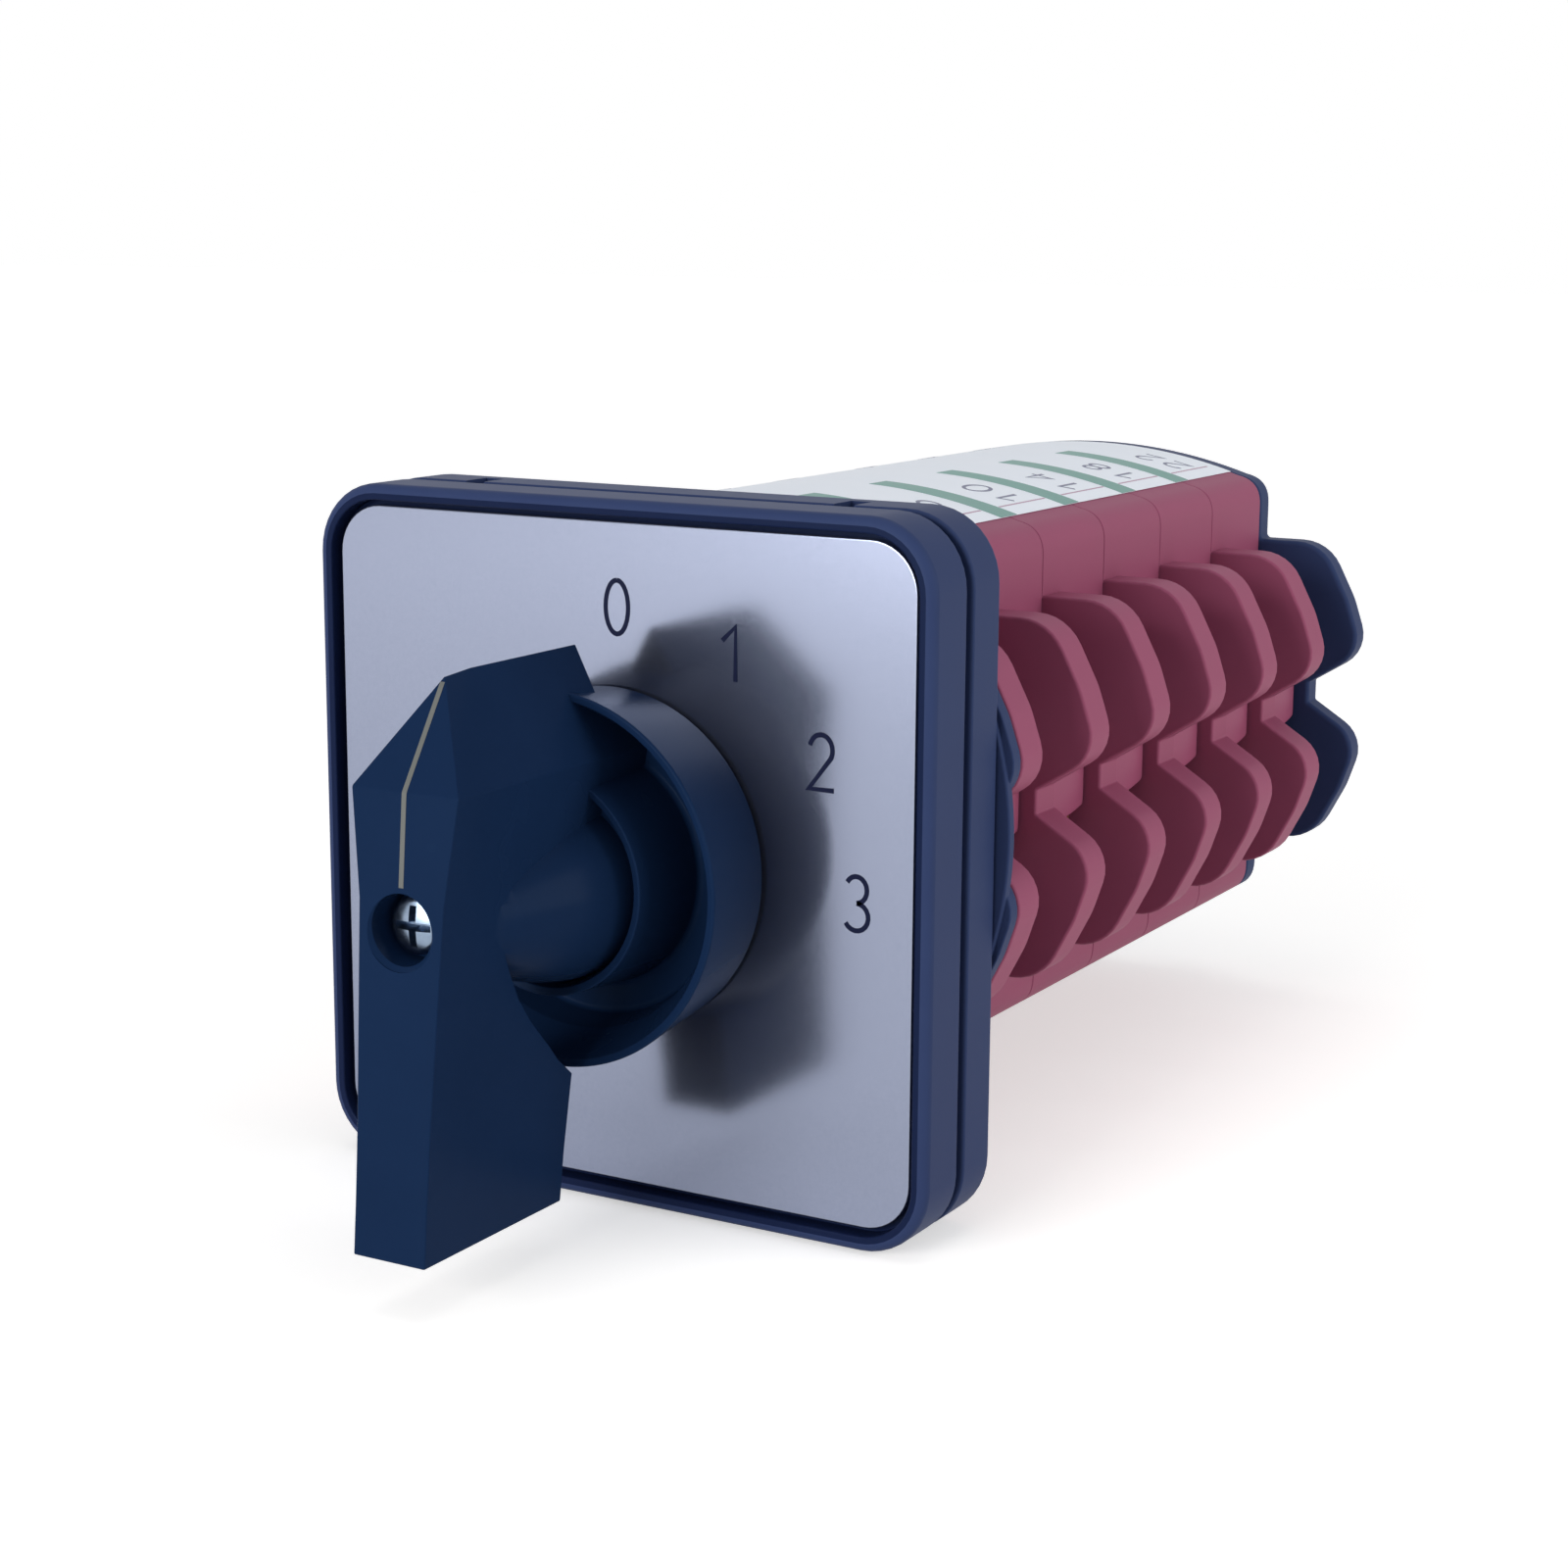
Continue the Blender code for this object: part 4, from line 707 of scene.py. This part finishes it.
bpy.data.objects.remove(section, do_unlink=True)
for number in range(1, SECTIONS + 1):
    mesh = template.copy()
    mesh.transform(Matrix.Translation((0, (BODY_FRONT + (number - 1) * PITCH) * MM, 0)))
    dress(added(f"section_moulding_{number}", mesh), wine_moulding, "switch_body",
          [f"section_housing_{number}"])
print("faces of a section", len(template.polygons))

# %% [markdown]
# ## Handle
# One moulding: a round drum with a deep moat in its front, a cone that rises out of a ring inside the moat,
# and a bar with a pointed nose across the cone. The nose half of the bar stands on the drum, and the tail
# half is hollowed out behind in a curve, so that fingers reach round it. The bar is a faceted form, so its
# points are worked out row by row from its tail to its nose, and a Bevel rounds its edges.

# %% Bar of the handle
BAR_MIDDLE = -42.75
BAR_LEAN = 0.0864
KNEE = 11.1
KNEE_HALF = 5.3
KNEE_SIDE = -41.79
NOSE_SLOPE = 0.65
NOSE_TIP = 20.0
TIP_FRONT = -32.5
RIDGE_TIP = 19.73


def bar_front(z):
    """Y of the bar's front on its middle line: a leaning face up to the knee, then the sloped nose."""
    knee = BAR_MIDDLE + BAR_LEAN * KNEE
    return np.where(z <= KNEE, BAR_MIDDLE + BAR_LEAN * z, knee + NOSE_SLOPE * (z - KNEE))


REAR = ((-27.2, -25.7), (-22.8, -25.05), (-16.2, -23.85), (-14.5, -25.9), (-12.8, -27.4), (-11.3, -28.9),
        (-9.9, -30.2), (-7.7, -31.9), (-5.2, -33.2), (-3.2, -34.0), (-3.0, -13.2), (2.22, -13.2),
        (KNEE, -13.2), (14.0, -13.2), (14.6, -17.9), (15.7, -17.9), (RIDGE_TIP, -17.45), (NOSE_TIP, -17.4))
heights, rear = np.array(REAR).T
half_width = np.interp(heights, (-27.2, -19.04, 2.22, KNEE, NOSE_TIP), (3.6, 3.6, 4.2, KNEE_HALF, 0.0))
ridge = np.where(heights <= KNEE, half_width,
                 KNEE_HALF * np.clip(RIDGE_TIP - heights, 0, None) / (RIDGE_TIP - KNEE))
front = np.where(heights < NOSE_TIP, bar_front(heights), TIP_FRONT)
side = KNEE_SIDE + (TIP_FRONT - KNEE_SIDE) * (heights - KNEE) / (NOSE_TIP - KNEE)
side = np.where(heights <= KNEE, front, side)
columns = [(-half_width, rear), (-half_width, side), (-ridge, front), (ridge, front), (half_width, side),
           (half_width, rear)]
bar_grid = np.stack([np.stack([x, y, heights], axis=1) for x, y in columns], axis=1)
bar = solid("handle_bar", bar_grid)
bm = bmesh.new()
bm.from_mesh(bar.data)
bmesh.ops.dissolve_limit(bm, angle_limit=math.radians(0.5), verts=bm.verts, edges=bm.edges)
bm.to_mesh(bar.data)
bm.free()
bevel = bar.modifiers.new("round edges", "BEVEL")
bevel.width = 0.4 * MM
bevel.segments = 3
bevel.limit_method = "ANGLE"
bevel.angle_limit = math.radians(14)
apply_modifiers(bar)
print("bar faces", len(bar.data.polygons))

# %% [markdown]
# The drum widens towards its front, where it ends in a thin lip. It is turned from one profile that runs
# up its outside, down into the moat and over the ring. Cone and bar are joined on, and then the screw's
# well, the square socket for the shaft and the screw's hole are cut.

# %% Drum, ring, cone and joined handle
rim = edge_profile([
    (7.0, -11.9, 0), (15.5, -11.9, 0.12), (16.65, -21.8, 0.2), (15.95, -21.7, 0.15), (14.1, -17.6, 0.6),
    (13.4, -14.3, 0.5), (10.6, -14.3, 0.5), (10.0, -23.0, 0.14), (9.3, -22.75, 0.12), (8.9, -20.6, 0.3),
    (0, -20.6, 0)])
handle = solid("handle_moulding", turned(np.concatenate([[(0, -8.3), (7.0, -8.3)], rim]), 160), caps=False)
t = np.linspace(0, 1.18, 15)
cone = np.stack([8.3 - 4.2 * t ** 1.5, -19.8 - 15.9 * t], axis=1)
work(handle, [solid("tool", turned(cone, 120, 0.0, -0.8)), bar], "UNION")
well = solid("tool", turned([(3.0, -39.15), (3.0, -42.5), (3.4, -42.9), (3.4, -46.0)], 64))
socket = prism(box_outline(-3.3, 3.3, -3.3, 3.3), -36.0, 0.0)
work(handle, [well, socket, drill(1.7, -39.5, -35.0, 32)])
dress(handle, handle_polyamide, "rotor", ["handle"], sharp=40)
print("handle faces", len(handle.data.polygons))

# %% [markdown]
# A pale line is painted along the bar from the screw well over the knee to the nose. It follows the bar's
# front, so it is a strip carried over the same leaning face and slope.

# %% Pointer line
def on_bar(flat, height):
    """Front of the bar: flat points are (x, z), and height stands out from it."""
    return np.stack([flat[:, 0], bar_front(flat[:, 1]) + 0.01 - height, flat[:, 1]], axis=1)


along = np.concatenate([np.linspace(3.45, 11.05, 12), np.linspace(11.15, 19.3, 12)])
pointer_path = np.stack([0 * along, along], axis=1)
pointer = printed("pointer_line", [pointer_path], 0.46, on_bar, 0.04)
dress(pointer, pointer_paint, "rotor", sharp=60)

# %% [markdown]
# The handle is held on the shaft by a cross-head screw at the bottom of the well. Only its head shows.

# %% Handle screw
def cross_screw(name, head, tall, shank, length, seat):
    """Cross-head screw along Y, its head towards -Y and seated at y = seat: a domed profile turned round
    the axis, with a tapered cross cut into it."""
    dome = np.linspace(0, 1, 9)
    cap = np.stack([head * 0.9 * dome, -tall + 0.22 * tall * dome ** 2], axis=1)
    rest = [(head, -tall * 0.62), (head, -0.06), (head - 0.06, 0), (shank, 0), (shank, length), (0, length)]
    screw = solid(name, turned(np.concatenate([cap, rest]) + (0, seat), 72), caps=False)
    arm, bar_half, deep = head * 0.72, head * 0.16, tall * 0.75
    for wide, high in ((arm, bar_half), (bar_half, arm)):
        outline = box_outline(-wide, wide, -high, high)
        taper = min(0.18 * head, bar_half * 0.6)
        bottom = outline * (1 - taper / np.array((wide, high)))
        grid = np.stack([np.insert(outline, 1, seat - tall - 0.2, axis=1),
                         np.insert(bottom, 1, seat - tall + deep, axis=1)])
        work(screw, [solid("tool", grid)])
    return screw


screw = cross_screw("handle_screw_bright", 2.45, 1.7, 1.4, 11.7, -39.45)
dress(screw, screw_steel, "rotor", ["handle_screw"])

# %% [markdown]
# ## Terminals
# Each section has four terminals in the pockets between the barriers: a brass strip that comes out through
# the wall, a zinc-plated saddle on it, and a clamp screw with a slot. One terminal is worked out at the
# upper right, and the others are its mirror images, moved along Y.

# %% Terminals
STRIP_TOP = RIB_HALF + 1.5
STRIP_END = 25.4
FIXED_TOP = 12.1 - BODY_RISE
FIXED_UNDER = 10.9 - BODY_RISE
SCREW_X = 23.9


def stood_up(grid):
    """Swap Y and Z, for a form that was drawn along Y and stands along Z."""
    return grid[..., [0, 2, 1]]


z = STRIP_TOP
under = z - STRIP_THICK
strip = fillet([(17.1, under, 0.2), (STRIP_END, under, 0.25), (STRIP_END, z, 0.25), (18.6, z, 0.3),
                (18.6, FIXED_TOP, 0.3), (9.6, FIXED_TOP, 0.2), (9.6, FIXED_UNDER, 0.2),
                (17.1, FIXED_UNDER, 0.2)], 3)
saddle = fillet([(21.5, -3.0, 0.6), (26.0, -3.0, 0.6), (26.0, 3.0, 0.6), (21.5, 3.0, 0.6)], 4)
head = edge_profile([(1.5, z + 1.0, 0), (2.3, z + 1.0, 0.1), (2.3, z + 2.9, 0.35), (0.0, z + 2.9, 0)])
clamp_screw = np.concatenate([[(1.5, z - 3.5), (1.5, z)], head])
strip_piece = solid("strip", carried(strip, slab_profile(-3.5, 3.5, 0.15)))
saddle_piece = solid("saddle", stood_up(carried(saddle, slab_profile(z - 0.1, z + 1.0, 0.15))))
head_piece = solid("head", stood_up(turned(clamp_screw, 48, SCREW_X)))
slot_corners = [(x, y, z) for x in (20.6, 27.2) for y in (-0.35, 0.35)
                for z in (STRIP_TOP + 2.0, STRIP_TOP + 3.5)]
slot_tool = from_faces("tool", slot_corners,
                       [(0, 1, 3, 2), (4, 5, 7, 6), (0, 1, 5, 4), (2, 3, 7, 6), (0, 2, 6, 4), (1, 3, 7, 5)])
work(head_piece, [slot_tool])


def joined(name, pieces):
    """One mesh from several, each keeping its own material number."""
    bm = bmesh.new()
    for number, piece in enumerate(pieces):
        start = len(bm.faces)
        bm.from_mesh(piece.data)
        bm.faces.ensure_lookup_table()
        for face in bm.faces[start:]:
            face.material_index = number
        bpy.data.objects.remove(piece, do_unlink=True)
    mesh = bpy.data.meshes.new(name)
    bm.to_mesh(mesh)
    bm.free()
    return mesh


terminal_mesh = joined("terminal", [strip_piece, saddle_piece, head_piece])
for number in range(1, SECTIONS + 1):
    y = BODY_FRONT + (number - 1) * PITCH + (BARRIER + PITCH) / 2
    place = Matrix.Translation((0, y * MM, BODY_RISE * MM))
    for hand, sx in (("right", 1), ("left", -1)):
        for level, sz in (("upper", 1), ("lower", -1)):
            mesh = terminal_mesh.copy()
            mesh.transform(place @ Matrix.Diagonal((sx, 1, sz, 1)))
            if sx * sz < 0:
                mesh.flip_normals()
            terminal = f"terminal_{number}_{level}_{hand}"
            dress(added(f"{terminal}_clamp", mesh), [rolled_brass, zinc_steel, zinc_steel], "switch_body",
                  [terminal])
print("terminal faces", len(terminal_mesh.polygons))

# %% [markdown]
# ## Tie bolts
# Two long bolts hold the stack together. Only their nuts and threaded ends show, on the end plate. A nut is
# a function of angle and height: the radius of a hexagon, but no more than that of the chamfer cone.

# %% Tie bolts and nuts
def nut_grid(x, z, y_front, tall, across, sides=96):
    """Nut: at each angle the radius is the hexagon's, or the chamfer's where that is less."""
    angle = np.arange(sides) * 2 * math.pi / sides
    flat = across / 2
    hexagon = flat / np.cos((angle % (math.pi / 3)) - math.pi / 6)
    y = np.array((0.0, 0.05, 0.12, 0.25, 0.45, 0.5)) * tall
    y = np.concatenate([y, tall - y[::-1][1:]])
    cone = flat * 0.97 + 1.9 * np.minimum(y, tall - y)
    radius = np.minimum(hexagon[None], cone[:, None])
    return np.stack([x + radius * np.cos(angle), np.broadcast_to((y_front + y)[:, None], radius.shape),
                     z + radius * np.sin(angle)], axis=-1)


def thread_profile(radius, y_front, y_rear, pitch=0.5):
    """Radius along the threaded end: a zigzag of crest and root at the thread's pitch."""
    y = np.arange(y_front, y_rear - 0.2, pitch / 2)
    return np.stack([radius - 0.16 * (np.arange(len(y)) % 2), y], axis=1)


BOLT_RADIUS = 1.65
HEAD_RADIUS = 2.6
NUT_FRONT = END_REAR + 0.3
NUT_TALL = 2.4
NUT_ACROSS = 5.02
tail = NUT_FRONT + NUT_TALL + 1.0
thread = thread_profile(BOLT_RADIUS, NUT_FRONT + 2.2, tail)
head = edge_profile([(0, -2.0, 0), (HEAD_RADIUS, -2.0, 0.3), (HEAD_RADIUS, 0, 0.1), (BOLT_RADIUS, 0, 0)])
bolt_profile = np.concatenate([head, thread, [(1.2, tail), (0, tail)]])
for name, (x, z) in zip(("tie_bolt_left", "tie_bolt_right"), BOLT_PLACES):
    bolt = solid(f"{name}_with_nut", turned(bolt_profile, 48, x, z), caps=False)
    work(bolt, [solid("tool", nut_grid(x, z, NUT_FRONT, NUT_TALL, NUT_ACROSS))], "UNION")
    dress(bolt, zinc_steel, "switch_body", [name])

# %% [markdown]
# ## Label on the arched top
# A white film runs over the top of all six sections. Its right half carries a green stripe over each joint,
# and a thin line runs along each long edge. Everything on it is laid over the arch, so flat points (x, y)
# only need the arch's height to find their place.

# %% Label
LABEL_HALF = 17.5
LABEL_LIFT = 0.1
STRIPE_START = 3.0
STRIPE_HALF = 1.8
LINE_X = 15.4


def on_arch(flat, height):
    """Top of the sections: flat points are (x, y), and height stands out along the arch's radius."""
    x, y = flat.T
    lean = x / ARCH_RADIUS
    lift = LABEL_LIFT + height
    return np.stack([x + lift * lean, y, BODY_RISE + arch(x) + lift * np.sqrt(1 - lean ** 2)], axis=1)


def laid_sheet(name, x0, x1, y0, y1, low, high):
    """Thin sheet over the arch between two heights: its cross-section is a closed ring carried along Y."""
    across = np.linspace(x0, x1, 41)
    rows = []
    for y in (y0, y1):
        flat = np.stack([across, np.full(41, y)], axis=1)
        rows.append(np.concatenate([on_arch(flat, low), on_arch(flat[::-1], high)]))
    return solid(name, np.stack(rows))


label = laid_sheet("label_film_sheet", -LABEL_HALF, LABEL_HALF, BODY_FRONT + 0.1, END_FRONT - 0.15,
                   -0.05, 0.0)
dress(label, label_film, "switch_body")
for joint in range(1, SECTIONS):
    middle = BODY_FRONT + joint * PITCH - 0.15
    stripe = laid_sheet(f"label_stripe_{joint}", STRIPE_START, LABEL_HALF, middle - STRIPE_HALF,
                        middle + STRIPE_HALF, 0.005, 0.02)
    dress(stripe, green_ink, "switch_body")
for hand, sx in (("right", 1), ("left", -1)):
    paths = []
    for cell in range(SECTIONS):
        y0 = BODY_FRONT + cell * PITCH + (1.9 if cell else 0.6)
        y1 = BODY_FRONT + (cell + 1) * PITCH - 2.2
        paths.append(np.stack([np.full(8, sx * LINE_X), np.linspace(y0, y1, 8)], axis=1))
    dress(printed(f"label_line_{hand}", paths, 0.22, on_arch, 0.015), line_ink, "switch_body")

# %% [markdown]
# The label numbers the upper terminals: 2, 6, 10 and so on at the right, and 1, 5, 9 and so on at the left.
# The numbers are plain pen strokes again, and they are read from behind the switch.

# %% Numbers on the label
LABEL_TALL = 4.0
LABEL_WIDE = 2.3
NUMBER_X = 11.9


def read_from_behind(text, x, y):
    """Strokes of a number whose baseline runs along -X and whose top points along -Y."""
    paths = []
    for place, digit in enumerate(text):
        shift = (place - (len(text) - 1) / 2) * 3.4
        for stroke in NUMBERS[digit]:
            flat = (stroke - 0.5) * (LABEL_WIDE, LABEL_TALL) + (shift, 0)
            paths.append(np.stack([x - flat[:, 0], y - flat[:, 1]], axis=1))
    return paths


for cell in range(SECTIONS):
    y = BODY_FRONT + cell * PITCH + 7.6
    for value, x in ((4 * cell + 2, NUMBER_X), (4 * cell + 1, -NUMBER_X)):
        paths = read_from_behind(str(value), x, y)
        dress(printed(f"terminal_number_{value}", paths, 0.4, on_arch, 0.02), grey_ink, "switch_body")
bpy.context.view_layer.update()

# %% [markdown]
# ## Working parts inside
# The shaft, star wheel, leaf spring, cams and plungers keep their CAD shapes, because the housings hide
# them. They still get the finish of their real material.

# %% Finishes of the inner parts
INNER = {"shaft": zinc_steel, "star_wheel": acetal, "detent_spring": spring_steel}
INNER |= {name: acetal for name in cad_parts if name.startswith(("cam_", "contact_slider_"))}
for name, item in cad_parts.items():
    finish = INNER.get(name)
    if finish is None:
        continue
    item.data.materials.clear()
    item.data.materials.append(finish)
    for slot in item.material_slots:
        slot.material = finish
print("shown CAD nodes", sum(1 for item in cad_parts.values() if not item.hide_render))

# %% [markdown]
# ## Studio
# The switch hangs in the air on a white ground in the photograph. Here it stands over a pale floor that
# keeps its soft shadow. White comes from what camera, mirror and glass rays see of the floor and the world,
# and never from more light on the object.

# %% Floor
FLOOR_Z = -32.2
FLOOR_HALF = 3000


def seen_directly(tree):
    """1 for a ray that comes from the camera, a mirror or glass, and 0 for one that gathers light."""
    rays = node(tree, "ShaderNodeLightPath")
    seen = rays.outputs["Is Camera Ray"]
    for kind in ("Is Glossy Ray", "Is Transmission Ray"):
        either = node(tree, "ShaderNodeMath", {0: seen, 1: rays.outputs[kind]}, operation="MAXIMUM")
        seen = either.outputs[0]
    return seen


floor_outline = box_outline(-FLOOR_HALF, FLOOR_HALF, -FLOOR_HALF, FLOOR_HALF)
floor = from_faces("floor", np.insert(floor_outline, 2, FLOOR_Z, axis=1), [(0, 1, 2, 3)])
floor_paper, tree, shader, place = finish_of("white_floor_paper", Roughness=0.9,
                                             Base_Color=linear("#f8f4ee"))
seen = seen_directly(tree)
far = node(tree, "ShaderNodeVectorMath", {0: place}, operation="LENGTH")
level = node(tree, "ShaderNodeMapRange", {"Value": far.outputs["Value"], "From Min": 0.3, "From Max": 1.6,
                                          "To Min": 0.46, "To Max": 0.74})
glow = node(tree, "ShaderNodeMath", {0: seen, 1: level.outputs["Result"]}, operation="MULTIPLY")
tree.links.new(glow.outputs[0], shader.inputs["Emission Strength"])
shader.inputs["Emission Color"].default_value = (1, 1, 1, 1)
floor.data.materials.append(floor_paper)

# %% [markdown]
# The world gives soft bluish light from all sides and looks white where it is seen. A key lamp stands at
# the right, a weak one above, and a front lamp lights the floor that the legend plate mirrors.

# %% World and lamps
world = bpy.data.worlds.new("studio")
bpy.context.scene.world = world
world.use_nodes = True
tree = world.node_tree
tree.nodes.clear()
seen = seen_directly(tree)
soft = node(tree, "ShaderNodeBackground", {"Color": (0.86, 0.91, 1.0, 1.0), "Strength": 0.36})
white = node(tree, "ShaderNodeBackground", {"Color": (1.0, 1.0, 1.0, 1.0), "Strength": 1.0})
pick = node(tree, "ShaderNodeMixShader", {0: seen, 1: soft.outputs[0], 2: white.outputs[0]})
node(tree, "ShaderNodeOutputWorld", {"Surface": pick.outputs[0]})


def lamp(name, place, target, size, power):
    """Square soft lamp of a power in watts. Its size, its place and the target it faces are in metres."""
    data = bpy.data.lights.new(name, "AREA")
    data.size = size
    data.energy = power
    item = added(name, data)
    item.location = place
    item.rotation_mode = "QUATERNION"
    item.rotation_quaternion = (Vector(target) - Vector(place)).to_track_quat("-Z", "Y")


lamp("key", (0.75, 0.15, 0.20), (0, 0.03, 0), 0.5, 3.0)
lamp("top", (0.0, 0.05, 0.80), (0, 0.04, 0), 0.6, 1.0)
lamp("front", (-0.15, -0.84, 0.18), (0, 0, 0), 0.5, 6.4)

# %% [markdown]
# ## Camera
# Its place, direction, roll and focal length were solved from the edges of the square front and the body.

# %% Camera
ROLL = 0.00617
lens = bpy.data.cameras.new("camera")
lens.lens = 66.145
lens.sensor_width = 36
lens.clip_start = 0.01
lens.clip_end = 20
camera = added("camera", lens)
camera.location = (0.13793579, -0.22122184, 0.05681611)
camera.rotation_mode = "QUATERNION"
forward = Vector((-0.48868586, 0.85018066, -0.19590551))
camera.rotation_quaternion = forward.to_track_quat("-Z", "Y") @ Quaternion((0, 0, 1), ROLL)
bpy.context.scene.camera = camera
bpy.context.scene.view_settings.view_transform = "Standard"
